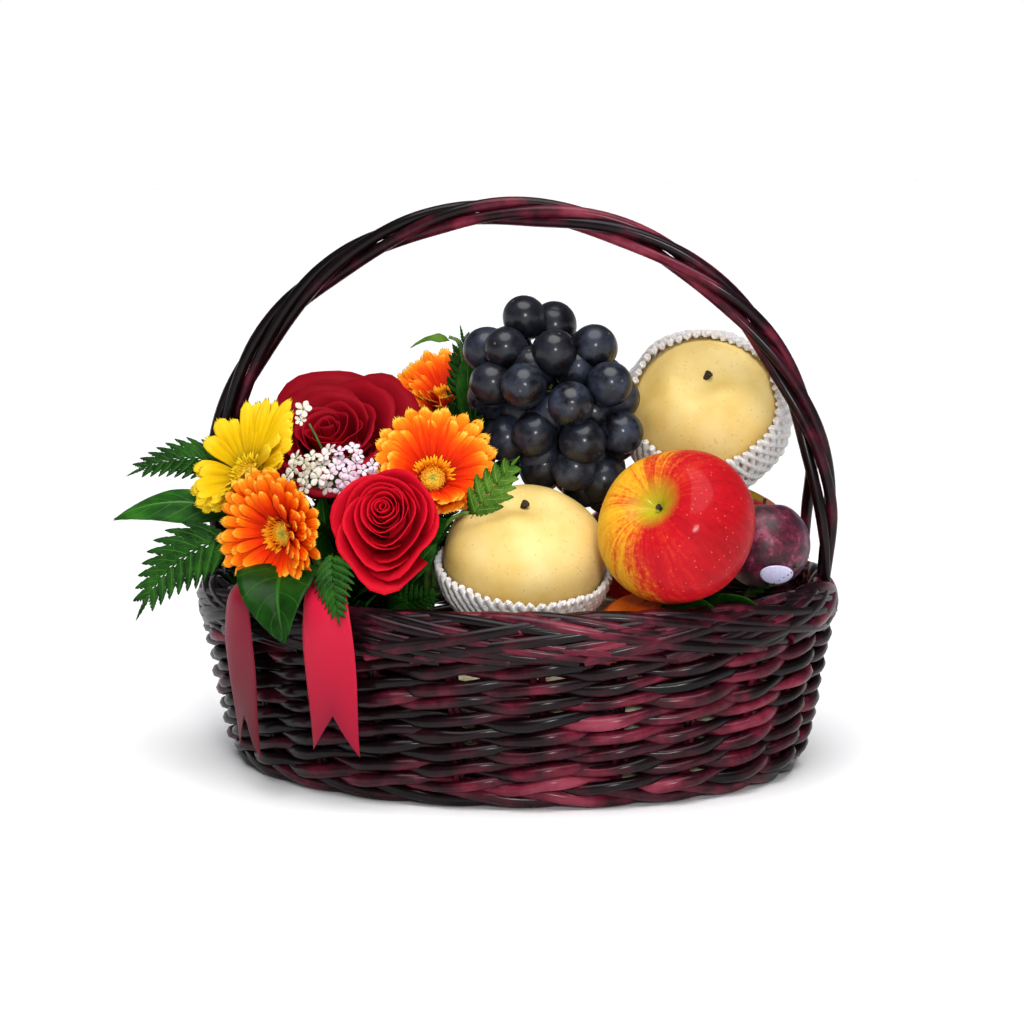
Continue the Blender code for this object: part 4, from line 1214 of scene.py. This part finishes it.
def rose(node, direction, radius, depth, skin, spin, rings, rise, point):
    """A rose head. rise is how far the outer petals stand above its middle, and point how far the lowest
    petal reaches down, both as shares of the radius.
    """
    petals = []
    for ring, (count, share, span, lip) in enumerate(rings):
        for index in range(count):
            petal = copy_of(flat_petal)
            start = math.radians(spin) + TAU * (index / count + 0.37 * ring) + vary(-0.12, 0.12)
            lean = vary(-0.05, 0.05)
            top = depth * (0.36 - 0.3 * share**1.9) * vary(0.9, 1.1)
            pointed = vary(0.5, 1.3) * share
            foot = -depth * (0.25 + 0.35 * share)
            tuck = 0.11 if share > 0.1 else 0.35
            unrest = 0.03 + 0.05 * share
            for vert in petal.data.vertices:
                u, v = vert.co.x, (vert.co.y + 1) / 2
                turn = start + u * span * math.pi
                out = radius * share * (0.42 + 0.58 * smoothstep(1.15 * v) ** 0.8)
                out *= 1 + tuck * u + lean * v
                lipped = max(v - 0.72, 0) / 0.28
                # The lip rolls back most on both sides of the tip, which leaves the tip pointed.
                rolled = 0.75 + 0.5 * math.sin(math.pi * min(abs(u) * 1.4, 1))
                rolled += 0.35 * pointed * (1 - abs(u)) ** 3
                out += radius * lip * lipped**1.5 * rolled
                edge = 1 - 0.26 * abs(u) ** 2.2 + 0.1 * pointed * (1 - abs(u)) ** 2
                height = foot + (top - foot) * v * edge - depth * (0.3 + 0.35 * abs(u)) * lip * lipped**2
                wobble = noise.noise(Vector((1.6 * u + 7 * index, 1.8 * v, 3.0 * ring))) * unrest * radius
                out += wobble * v
                height += 0.6 * wobble * v
                out *= 1 + point * share * max(-math.sin(turn), 0) ** 8
                vert.co = mm(out * math.cos(turn), out * math.sin(turn) + rise * radius * share**1.5, height)
            petals.append(petal)

    def turned(depths, thickness, shares):
        return rod([mm(0, 0, -depth * z) for z in depths], thickness * radius * MM, shares, sides=4)

    # The closed heart of the bud, which shows only as red depth between the open petals.
    petals.append(turned((0.06, 0.14, 0.24, 0.34, 0.42), 0.62, [0.2, 0.55, 0.85, 1.0, 0.9]))
    head = modified(joined(petals, node), "SOLIDIFY", thickness=0.45 * MM, offset=0)
    hip = turned((0.42, 0.5, 0.6, 0.66, 0.74), 0.2, [1.6, 1.3, 0.85, 0.9, 0.35])
    sepals = []
    for index in range(5):
        out = ray(TAU * index / 5)
        along = ((0.15, 0.6), (0.62, 0.58), (0.95, 0.34))
        rib = [out * far * radius + UP * (-down * depth) for far, down in along]
        sepals.append(laid(strap, *(place * MM for place in rib), 3.2 * MM, UP.cross(out)))
    sepals = with_finish(joined(sepals, "sepals"), green_stem)
    parts = [with_finish(head, skin), with_finish(hip, green_stem), sepals]
    head, move = head_seated(parts, node, direction, radius)
    return head, move - direction * 0.7 * depth * MM


ROSES = {
    "rose_front": (aim(4, 24), 24.5, 40.0, bright_rose, 20, OPEN_ROSE, -0.22, 0.34),
    "rose_back": (aim(-2, 54), 45.0, 46.0, deep_rose, 105, BROAD_ROSE, 0.3, 0.0),
}
for node, form in ROSES.items():
    head, flower_feet[node] = rose(node, *form)
    done(head, node + "_flower", None, "rose_petal", node)

# %% [markdown]
# ## Small white and pink filler flowers
# Between the large flowers sits a flat head of tiny five petalled flowers, cream at one end and pale pink
# at the other, and one more stands alone before the large rose. One floret is modelled and copied.

# %% Floret finish
floret_finish, tree, shader = finish_named("papery_floret_petal", Roughness=0.7, Sheen_Weight=0.1)
place = add(tree, "TexCoord").outputs["Object"]
mottled = add(tree, "TexNoise", {"Vector": place, "Scale": 130.0, "Detail": 2.0})
cream = add(tree, "ValToRGB", [mottled], [(0.35, "#cfc6b0"), (0.65, "#e9e2d2")])
pink = add(tree, "ValToRGB", [mottled], [(0.35, "#d8b4c8"), (0.65, "#efdce8")])
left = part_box("floret_cluster")[0].x
pinker = add(tree, "MapRange", [add(tree, "SeparateXYZ", [place]), left + 0.018, left + 0.032])
coated(shader, add(tree, "Mix", {0: pinker, 6: cream, 7: pink}, data_type="RGBA"))

# %% Florets
small_petal = blade(lambda s: tapered(s, 0.6, 0.2, 0.3), lambda s, t: 0.5 * s * s, (4, 3), 0.12)


def floret(size):
    """Five small petals round a pale green button, face up."""
    petals = []
    for index in range(5):
        out = ray(TAU * (index + vary(-0.12, 0.12)) / 5)
        bend, tip = out * 0.55 * size + UP * (0.12 * size), out * size * vary(0.9, 1.08)
        side = UP.cross(out) + UP * vary(-0.3, 0.3)
        petals.append(laid(small_petal, out * 0.06 * size, bend, tip, 0.36 * size, side, depth=0.3 * size))
    star = with_finish(joined(petals, "floret"), floret_finish)
    button = begun("ico_sphere", subdivisions=2, radius=0.16 * size)
    return joined([star, with_finish(button, green_stem)], "floret")


FLORETS = 27
florets, floret_stalks = [], []
cluster_middle = middle("floret_cluster")
turn = facing(aim(6, 28), 3)
floret_root = cluster_middle - aim(6, 28) * 34 * MM
for index in range(FLORETS):
    far = math.sqrt((index + 0.5) / FLORETS)
    x, y = 25.5 * far * math.cos(GOLDEN_ANGLE * index), 13.5 * far * math.sin(GOLDEN_ANGLE * index)
    at = mm(x, y, 4.0 * (1 - far * far) + vary(-3.0, 2.6))
    star = floret(vary(3.6, 5.2) * MM)
    tilt = Vector((0.03 * x, 0.05 * y, 1)) + Vector((vary(-0.3, 0.3), vary(-0.3, 0.3), 0))
    star.data.transform(turn @ Matrix.Translation(at) @ facing(tilt.normalized(), vary(0, 72)))
    florets.append(moved(star, cluster_middle))
    top = cluster_middle + turn @ (at - mm(0, 0, 0.5))
    floret_stalks.append(rod([top.lerp(floret_root, i / 4) for i in range(5)], 0.5 * MM, sides=2))
done(joined(florets, "florets"), "filler_florets", None, "white_floret", "floret_cluster")

open_one = floret(5.0 * MM)
bud = moved(floret(3.2 * MM), (-1.5 * MM, -6.0 * MM, -1.0 * MM))
single = middle("floret_single")
set_down([joined([open_one, bud], "single")], single, aim(5, 20))
done(open_one, "single_floret", None, "white_floret", "floret_single")
path = [single.lerp(floret_root, i / 6) + mm(0, -1, 3) * math.sin(math.pi * i / 6) for i in range(1, 7)]
floret_stalks.append(rod(path, 0.6 * MM, sides=2))
done(joined(floret_stalks, "floret_stalks"), "floret_stalks", green_stem, "leaf")

# %% [markdown]
# ## Leaves and ferns
# Three kinds of green fill the gaps: glossy broad leaves with a pale midrib, narrow lance leaves, and
# leatherleaf fern. A fern frond is a rib with side ribs that carry small leaflets. The frond is built flat
# from copies of one leaflet, and every frond of the basket is a copy of it, laid along its own rib.

# %% Leaf finishes
def leaf_finish(name, dark, mid, light, vein_colour, gloss, side_veins):
    """Leaf colour with a pale midrib and side veins, both drawn in the leaf's own map."""
    finish, tree, shader = finish_named(
        name, Roughness=gloss, Specular_IOR_Level=0.08, Coat_Weight=0.03, Coat_Roughness=0.25
    )
    parts = add(tree, "SeparateXYZ", [add(tree, "UVMap", uv_map="UVMap")])
    off = add(tree, "Math", [parts.outputs["Y"], 0.5], operation="SUBTRACT")
    off = add(tree, "Math", [off], operation="ABSOLUTE")
    rib = add(tree, "MapRange", [off, 0.012, 0.035, 1.0, 0.0])
    slant = product(tree, added(tree, parts.outputs["X"], (off, -0.55)), side_veins)
    saw = add(tree, "Math", [slant, 1.0], operation="PINGPONG")
    veins = add(tree, "MapRange", [saw, 0.0, 0.14, 0.5, 0.0])
    lines = add(tree, "Math", [rib, veins], operation="MAXIMUM")
    place = add(tree, "TexCoord").outputs["Object"]
    patch = add(tree, "TexNoise", {"Vector": place, "Scale": 75.0, "Detail": 3.0})
    tone = add(tree, "ValToRGB", [patch], [(0.32, dark), (0.5, mid), (0.72, light)])
    veined = add(tree, "Mix", {0: lines, 6: tone, 7: vein_colour}, data_type="RGBA")
    coated(shader, veined, lines, 0.35, 0.0008, invert=True)
    return finish


broad_leaf_skin = leaf_finish("glossy_broad_leaf", "#0c2806", "#123808", "#1c4a0e", "#285a16", 0.38, 9.0)
lance_leaf_skin = leaf_finish("lance_leaf", "#12360c", "#1c4c12", "#2e661a", "#457c2c", 0.42, 12.0)
fern_skin = leaf_finish("leatherleaf_fern", "#0e2a08", "#1a4210", "#2c5e18", "#3a6e24", 0.45, 5.0)
young_fern_skin = leaf_finish("young_fern", "#2a5010", "#40681a", "#5e862c", "#7a9c44", 0.5, 5.0)
# Painted shade: the packed leaves deep in the bed are a darker copy of the leaf finish.
shaded_packed_leaf_skin = leaf_finish("packed_leaves_in_painted_shade", "#06140a", "#0b2410", "#12351a", "#1c4422", 0.6, 6.0)
print("leaf finishes ready")

# %% Leaf and frond patterns
def hearted(s):
    return min(1.0, 5 * s) ** 0.5 * max(1 - s**1.8, 0) ** 0.8


def lanced(s):
    return max(math.sin(math.pi * s**0.8), 0) ** 0.8


def ribbed(s, t):
    """A sunken midrib and pillowed fields between the side veins."""
    return 0.03 * abs(math.sin(math.pi * (4.5 * s - 2.5 * abs(t)))) - 0.05 * math.exp(-((t / 0.12) ** 2))


def toothed(s):
    """A side leaf of a fern: narrow, with five rounded teeth along each edge."""
    tooth = abs(((5.5 * s + 0.1) % 1.0) - 0.5) * 2
    return tapered(s, 0.25, 0.5, 0.06, 0.9) * (0.62 + 0.38 * tooth)


broad_leaf = blade(hearted, ribbed, (26, 12), 0.03)
lance_leaf = blade(lanced, ribbed, (20, 8), 0.05)
side_leaf = blade(toothed, lambda s, t: -0.25 * math.exp(-((t / 0.3) ** 2)), (16, 2), 0.12)


def frond_pattern(pairs, lobe):
    """A flat frond one unit long that reaches one unit to each side. lobe is its side leaves' half width."""
    parts = []
    for i in range(pairs):
        at = 0.04 + 0.86 * i / pairs
        reach = (1 - at) ** 0.8 * (0.7 + 0.3 * min(at * 5, 1)) + 0.05
        for hand in (1, -1):
            base = Vector((at + 0.03 * (hand > 0), 0, 0))
            tip = base + Vector((0.24 * reach + 0.04, hand * reach, -0.10 * reach))
            bend = base.lerp(tip, 0.5) + Vector((-0.03, 0, 0.14 * reach))
            # Half the pitch of the side leaves, so that they nearly touch.
            wide = lobe + 0.02 * reach
            parts.append(laid(side_leaf, base, bend, tip, wide, (1, 0, 0.2 * hand), depth=0.05))
    parts.append(laid(side_leaf, (0.86, 0, 0), (0.93, 0, 0.02), (1.04, 0, 0), 0.09, (0, 1, 0), depth=0.05))
    parts.append(laid(side_leaf, (-0.05, 0, 0), (0.45, 0, 0.01), (0.95, 0, 0), 0.035, (0, 1, 0), depth=0.03))
    return joined(parts, "frond_pattern")


frond = frond_pattern(8, 0.075)
young_frond = frond_pattern(5, 0.125)
print("one frond:", len(frond.data.polygons), "faces")

# %% The leaves that show one by one
# Pattern, skin, start, bend and tip in mm, half width in mm, side, fold.
LEAVES = {
    "fern_left_upper": (
        frond, fern_skin, (-160, -20, 172), (-188, -25, 182), (-216, -33, 168), 13.5, (0, 0.3, 1), 0.1
    ),
    "leaf_left_lance": (
        lance_leaf, lance_leaf_skin,
        (-152, -36, 146), (-188, -46, 162), (-222, -46, 144), 11.5, (0, 1, 1), 0.3
    ),
    "fern_left_lower": (
        frond, fern_skin, (-146, -70, 138), (-178, -80, 134), (-198, -79, 96), 21, (-0.5, 0.3, 1), 0.1
    ),
    "leaf_heart": (
        broad_leaf, broad_leaf_skin,
        (-108, -98, 129), (-106, -130, 123), (-98, -135, 95), 24, (1, -0.3, -0.12), 0.12
    ),
    "fern_front": (
        frond, fern_skin, (-77, -112, 138), (-73, -131, 126), (-68, -136, 106), 13, (1, -0.3, 0), 0.05
    ),
    "fern_middle": (
        young_frond, young_fern_skin, (-6, -84, 156), (7, -92, 174), (19, -88, 187), 13, (0.8, 0.2, -0.6), 0.1
    ),
    "leaf_back_top": (
        lance_leaf, young_fern_skin, (-40, 24, 240), (-48, 22, 248), (-62, 20, 236), 5.5, (0.2, 1, 0.3), 0.3
    ),
    "fern_back_top": (frond, fern_skin, (-4, 56, 196), (-17, 54, 222), (-21, 40, 244), 13, (1, 0.2, 0), 0.1),
}
for name, (pattern, skin, start, bend, tip, half, side, fold) in LEAVES.items():
    green = laid(pattern, mm(*start), mm(*bend), mm(*tip), half * MM, side, fold, ripple=0.05)
    done(green, name + "_green", skin, name[:4], name)

# %% [markdown]
# ## The bed of greenery
# The flower stems stand in a bed of leaves and fern that fills the left half of the basket. Only its
# outside can be seen, so a mound of packed leaves, coloured darker than the other leaves as painted shade,
# carries a coat of real leaves and fronds that point up and out of it, and the stems of the flowers go down
# into it.

# %% The imported core
bed_middle = middle("greenery_bed")


def mound(unit):
    """The place on the mound in a direction from its middle. The oval wall cuts it off on the left."""
    high = unit.z * (64 if unit.z > 0 else 42) * MM
    point = Vector((bed_middle.x + unit.x * 40 * MM, bed_middle.y + unit.y * 72 * MM, 62 * MM + high))
    within(point, wall_middle(min(max(point.z, 9 * MM), wall_high.z)) - 14 * MM)
    return point


core = begun("uv_sphere", segments=64, ring_count=40, radius=1.0)
for vert in core.data.vertices:
    vert.co = mound(vert.co.normalized())
uneven(core, 6 * MM, 11 * MM)
uneven(core, 4 * MM, 5 * MM, 1)
done(core, "packed_leaves", shaded_packed_leaf_skin, "fern", "greenery_bed")

# %% The coat of leaves
# Pattern, skin, slot, least and most half width in mm, fold and ripple.
GREENS = {
    "broad_leaves": (broad_leaf, broad_leaf_skin, "leaf", 11, 16, 0.25, 0.06),
    "lance_leaves": (lance_leaf, lance_leaf_skin, "leaf", 6, 9, 0.3, 0.05),
    "fern": (frond, fern_skin, "fern", 9, 13, 0.1, 0.0),
}
COAT_ORDER = ("broad_leaves", "fern", "lance_leaves", "broad_leaves", "lance_leaves")


def before_a_flower(point):
    """Whether a leaf there would grow through a flower or stand before its face."""
    for centre, direction, radius in flower_faces:
        ahead = (point - centre).dot(direction)
        if -8 * MM < ahead < 45 * MM and (point - centre - ahead * direction).length < 0.95 * radius:
            return True
    return False


def greens_done(found, name):
    """Joins laid leaves into one piece of each kind."""
    for kind, (_, skin, slot, *_) in GREENS.items():
        done(joined(found[kind], kind), f"{name}_{kind}", skin, slot)


coat = {kind: [] for kind in GREENS}
bed_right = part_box("greenery_bed")[1].x + 8 * MM
for index in range(260):
    # These two steps never fall into one rhythm, so the leaves spread evenly all round.
    around = TAU * index * 0.754878 + 0.5
    rise = math.asin(0.98 * ((index * 0.569840 + 0.2) % 1.0))
    unit = Vector((math.cos(around) * math.cos(rise), math.sin(around) * math.cos(rise), math.sin(rise)))
    start = mound(unit) - 3 * MM * unit
    long = vary(22, 42) * MM
    way = (0.8 * unit + Vector((0, 0, 0.7)) + 1.3 * noise.noise_vector(start * 150)).normalized()
    bend = start + way * long * 0.6
    tip = bend + (way + 0.8 * unit - Vector((0, 0, 0.45))).normalized() * long * 0.6
    # Nothing leans out past the rim or over the fruit.
    for point in (bend, tip):
        if point.z < rim_high.z + 12 * MM:
            within(point, rim_middle - 8 * MM)
        point.x = min(point.x, bed_right)
    side = way.cross(UP) + 0.9 * noise.noise_vector(start * 130)
    if before_a_flower(bend) or before_a_flower(tip):
        continue
    kind = COAT_ORDER[index % 5]
    pattern, _, _, least, most, fold, ripple = GREENS[kind]
    coat[kind].append(laid(pattern, start, bend, tip, vary(least, most) * MM, side, fold, ripple=ripple))
print("leaves in the coat:", {kind: len(found) for kind, found in coat.items()})
greens_done(coat, "bed")

# %% Leaves that fill the gaps between flowers and fruit
BROAD, LANCE, FERN = GREENS
FILLERS = (
    # kind, start, bend, tip, half width, side: left of the grapes
    (FERN, (-26, 22, 186), (-33, 28, 212), (-38, 26, 236), 12, (1, -0.2, 0.2)),
    (LANCE, (-26, 20, 190), (-30, 18, 214), (-26, 14, 236), 7, (1, 0.2, 0)),
    (FERN, (-34, 30, 180), (-30, 34, 220), (-34, 30, 246), 13, (1, 0.2, 0)),
    (BROAD, (-36, 14, 172), (-40, 8, 192), (-32, 0, 206), 12, (1, 0.3, 0.2)),
    (FERN, (-24, -2, 160), (-20, -14, 184), (-16, -22, 204), 13, (1, 0.2, 0)),
    (BROAD, (-30, 8, 152), (-20, 2, 176), (-4, -2, 196), 12, (0.9, 0.2, -0.4)),
    (BROAD, (-34, 40, 160), (-27, 44, 182), (-12, 44, 204), 12, (0.9, 0, -0.4)),
    (BROAD, (-34, 40, 140), (-18, 44, 156), (6, 44, 174), 12, (0.7, 0, -0.7)),
    # between the right gerbera, the front rose and the front pear
    (FERN, (-38, -44, 134), (-30, -54, 150), (-22, -56, 162), 12, (0.3, -0.3, 1)),
    (BROAD, (-44, -60, 132), (-34, -76, 146), (-22, -78, 152), 11, (0.3, -0.4, 1)),
    (LANCE, (-46, -78, 118), (-34, -96, 132), (-24, -98, 142), 7, (0.4, -0.4, 1)),
    (FERN, (-52, -84, 104), (-36, -98, 112), (-22, -102, 116), 12, (0.3, -0.5, 1)),
    (BROAD, (-56, -86, 98), (-50, -102, 108), (-38, -106, 112), 11, (0.5, -0.4, 1)),
    # in the corners beside the orange and the plum
    (BROAD, (96, -70, 96), (112, -86, 112), (124, -90, 108), 12, (0.3, -0.5, 1)),
    (BROAD, (112, -58, 98), (134, -74, 112), (146, -76, 106), 13, (0.2, -0.7, 1)),
    (FERN, (132, -20, 100), (156, -36, 120), (164, -40, 122), 13, (0.3, 1, 0.6)),
    (BROAD, (136, 10, 100), (152, 14, 122), (160, 8, 128), 13, (0, 1, 0.2)),
)
filler = {kind: [] for kind in GREENS}
for kind, start, bend, tip, half, side in FILLERS:
    pattern = GREENS[kind][0]
    filler[kind].append(laid(pattern, mm(*start), mm(*bend), mm(*tip), half * MM, side, 0.15, ripple=0.06))
greens_done(filler, "filler")

# %% Flower stems and leaf stalks
stems = []
for node, foot in flower_feet.items():
    goal = Vector((0.75 * foot.x - 20 * MM, 0.45 * foot.y, 60 * MM))
    bend = foot + (foot - middle(node)).normalized() * 18 * MM
    path = [middle(node).lerp(foot, 0.7)]
    path += [foot.lerp(bend, i / 12).lerp(bend.lerp(goal, i / 12), i / 12) for i in range(13)]
    stems.append(rod(path, 2.3 * MM, sides=2))
# Stations in mm, steps, and radius in mm. The first two carry the small leaf at the top.
STALKS = (
    (((-30, 30, 196), (-32, 27, 222), (-34, 25, 238), (-40, 24, 242)), 14, 1.0),
    (((-60, 20, 120), (-40, 26, 160), (-30, 30, 196)), 10, 1.2),
    (((-4, -83, 157), (-22, -74, 150), (-50, -52, 112)), 12, 1.1),
    (((-4, 57, 198), (-4, 56, 170), (-34, 30, 100)), 12, 1.1),
    (((-158, -20, 172), (-134, -14, 158), (-104, -4, 104)), 12, 1.1),
    (((-150, -35, 146), (-130, -28, 134), (-100, -10, 96)), 12, 1.1),
    (((-144, -68, 138), (-126, -56, 134), (-98, -30, 92)), 12, 1.1),
)
for stations, steps, radius in STALKS:
    stems.append(rod(smooth_path([mm(*station) for station in stations], steps), radius * MM, sides=2))
done(joined(stems, "stems"), "flower_stems", green_stem, "leaf")
for pattern in (
    strap, sliver, small_petal, flat_petal, broad_leaf, lance_leaf, side_leaf, frond, young_frond
):
    bpy.data.objects.remove(pattern)

# %% [markdown]
# ## Packing tissue
# The fruit sits on pale crumpled tissue that shows as small light specks between the rods of the wall. It
# is a closed heap with sharp creases, which a Voronoi displacement gives better than soft clouds would.

# %% Crumpled tissue
tissue_skin, tree, shader = finish_named("crumpled_tissue_paper", Roughness=0.8)
place = add(tree, "TexCoord").outputs["Object"]
creases = add(tree, "TexVoronoi", {"Vector": place, "Scale": 90.0}, feature="DISTANCE_TO_EDGE")
# Painted shade: the paper is darker along its creases.
tissue_with_painted_crease_shade = add(tree, "ValToRGB", [creases], [(0.0, "#b9b48c"), (0.1, "#d8d4b0"), (0.5, "#e6e2c4")])
coated(shader, tissue_with_painted_crease_shade, creases, 0.5, 0.002)

tissue_low, tissue_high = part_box("packing_tissue")
tissue_middle, tissue_half = (tissue_low + tissue_high) / 2, (tissue_high - tissue_low) / 2
# The orange in front has pressed a hollow into the tissue.
HOLLOW, HOLLOW_RADIUS = mm(85, -60.5, 78), 36.5 * MM


def squared(value, power):
    return math.copysign(abs(value) ** power, value)


tissue = begun("uv_sphere", segments=96, ring_count=48, radius=1.0)
for vert in tissue.data.vertices:
    unit = vert.co.normalized()
    flat = math.hypot(unit.x, unit.y) ** 0.45
    turn = math.atan2(unit.y, unit.x)
    out = (
        tissue_half.x * flat * squared(math.cos(turn), 0.8),
        tissue_half.y * flat * squared(math.sin(turn), 0.8),
        tissue_half.z * squared(unit.z, 0.6),
    )
    point = tissue_middle + Vector(out)
    within(point, wall_middle(point.z) - 6.5 * MM)
    off = math.hypot(point.x - HOLLOW.x, point.y - HOLLOW.y)
    if off < HOLLOW_RADIUS and point.z > tissue_middle.z:
        point.z = min(point.z, HOLLOW.z - math.sqrt(HOLLOW_RADIUS**2 - off**2))
    vert.co = point
crumple = bpy.data.textures.new("crumple", "VORONOI")
crumple.noise_scale, crumple.noise_intensity = 16 * MM, 1.0
modified(tissue, "DISPLACE", texture=crumple, strength=-5 * MM, texture_coords="LOCAL")
done(tissue, "crumpled_packing_tissue", tissue_skin, "tissue_paper", "packing_tissue", smooth=False)

# %% [markdown]
# ## Satin ribbons
# Two tails of crimson satin ribbon hang from under the flowers over the rim, each cut to a swallowtail.
# Satin floats its warp threads along the ribbon, so it has a soft directional sheen. Down each tail the
# colour is also painted, from a bright top, a painted highlight, down to deep wine red, painted shade, at
# its lower end. The ribbons are thin strips bent along their own path, because a narrow stiff ribbon keeps
# the curve it was given. They are left without any print.

# %% Satin finish
def satin(name, shadow, body, bright):
    finish, tree, shader = finish_named(
        name,
        Roughness=0.42,
        Anisotropic=0.6,
        Sheen_Weight=0.03,
        Sheen_Roughness=0.35,
        Sheen_Tint="#ff5a78",
        Specular_IOR_Level=0.14,
    )
    along = add(tree, "SeparateXYZ", [add(tree, "UVMap", uv_map="UVMap")])
    # Warp threads are finer than a tenth of a millimetre, so they are drawn at 0.4 mm to show at all.
    thread = drawn_out(tree, 2.0, 75.0)
    # Painted light: bright at the top of each tail as a painted highlight, darker towards its lower end as
    # painted shade.
    mixed = added(tree, 0.8, (along, -0.75), (thread, 0.22))
    tone = add(tree, "ValToRGB", [mixed], [(0.1, shadow), (0.5, body), (0.9, bright)])
    coated(shader, tone, thread, 0.2, 0.0002)
    return finish


crimson_satin = satin("crimson_satin", "#800a28", "#b21030", "#d01c3c")
wine_satin = satin("wine_satin", "#500818", "#6e0c22", "#8c162e")
print("satin finishes ready")


# %% Ribbons
RIBBON_STEPS = 240


def evenly(stations, steps):
    """Points of a smooth curve through the stations, at equal distances along it."""
    fine = smooth_path(stations, 600)
    travelled = [0.0]
    for a, b in zip(fine, fine[1:]):
        travelled.append(travelled[-1] + (b - a).length)
    found, i = [], 0
    for step in range(steps + 1):
        goal = travelled[-1] * step / steps
        while i < len(fine) - 2 and travelled[i + 1] < goal:
            i += 1
        found.append(fine[i].lerp(fine[i + 1], (goal - travelled[i]) / (travelled[i + 1] - travelled[i])))
    return found


def ribbon(node, path, out, width, skin, notch=0.2):
    """A ribbon tail along stations in mm, with a swallowtail at its lower end."""
    piece = begun("grid", x_subdivisions=60, y_subdivisions=16, size=2)
    out = Vector(out).normalized()
    side = Vector((-out.y, out.x, 0))
    line = evenly([mm(*station) for station in path], RIBBON_STEPS)
    for vert in piece.data.vertices:
        along, across = (vert.co.x + 1) / 2, vert.co.y
        # The last two fifths are drawn in towards the middle, which cuts the notch.
        cut = 1 - notch * (1 - abs(across))
        reach = along if along < 0.6 else 0.6 + (along - 0.6) / 0.4 * (cut - 0.6)
        at = line[min(int(reach * RIBBON_STEPS), RIBBON_STEPS)]
        narrow = 0.84 + 0.16 * smoothstep(reach / 0.45)
        # The satin is slightly cupped across, and twists a little towards its end.
        twist = 0.10 * math.sin(2.2 * reach * math.pi + 0.6)
        cup = -1.8 * across * across + 5.0 * twist * across + 0.8 * math.sin(7 * reach + 2 * across)
        vert.co = at + side * (across * narrow * width / 2 * MM) + out * (cup * MM)
    modified(piece, "SOLIDIFY", thickness=0.3 * MM, offset=0)
    done(piece, f"satin_{node}", skin, "satin_ribbon", node)


front_path = (
    (-81, -108, 122), (-80, -119, 121), (-78, -129, 113), (-77, -130.5, 95), (-76, -128, 70), (-75, -127, 33)
)
left_path = (
    (-120, -86, 122), (-127, -95, 120), (-134, -102, 111), (-135, -103, 92), (-134, -100, 66), (-132, -98, 23)
)
ribbon("ribbon_front", front_path, (-0.33, -0.94, 0), 31, crimson_satin)
ribbon("ribbon_left", left_path, (-0.72, -0.69, 0), 29, wine_satin)

# %% [markdown]
# ## The end
# Each piece was seated at the middle of its imported solid, and its size was printed as it was done.
# The finished piece has to fill the same box as the imported model.

# %% Finish
print("all pieces made")
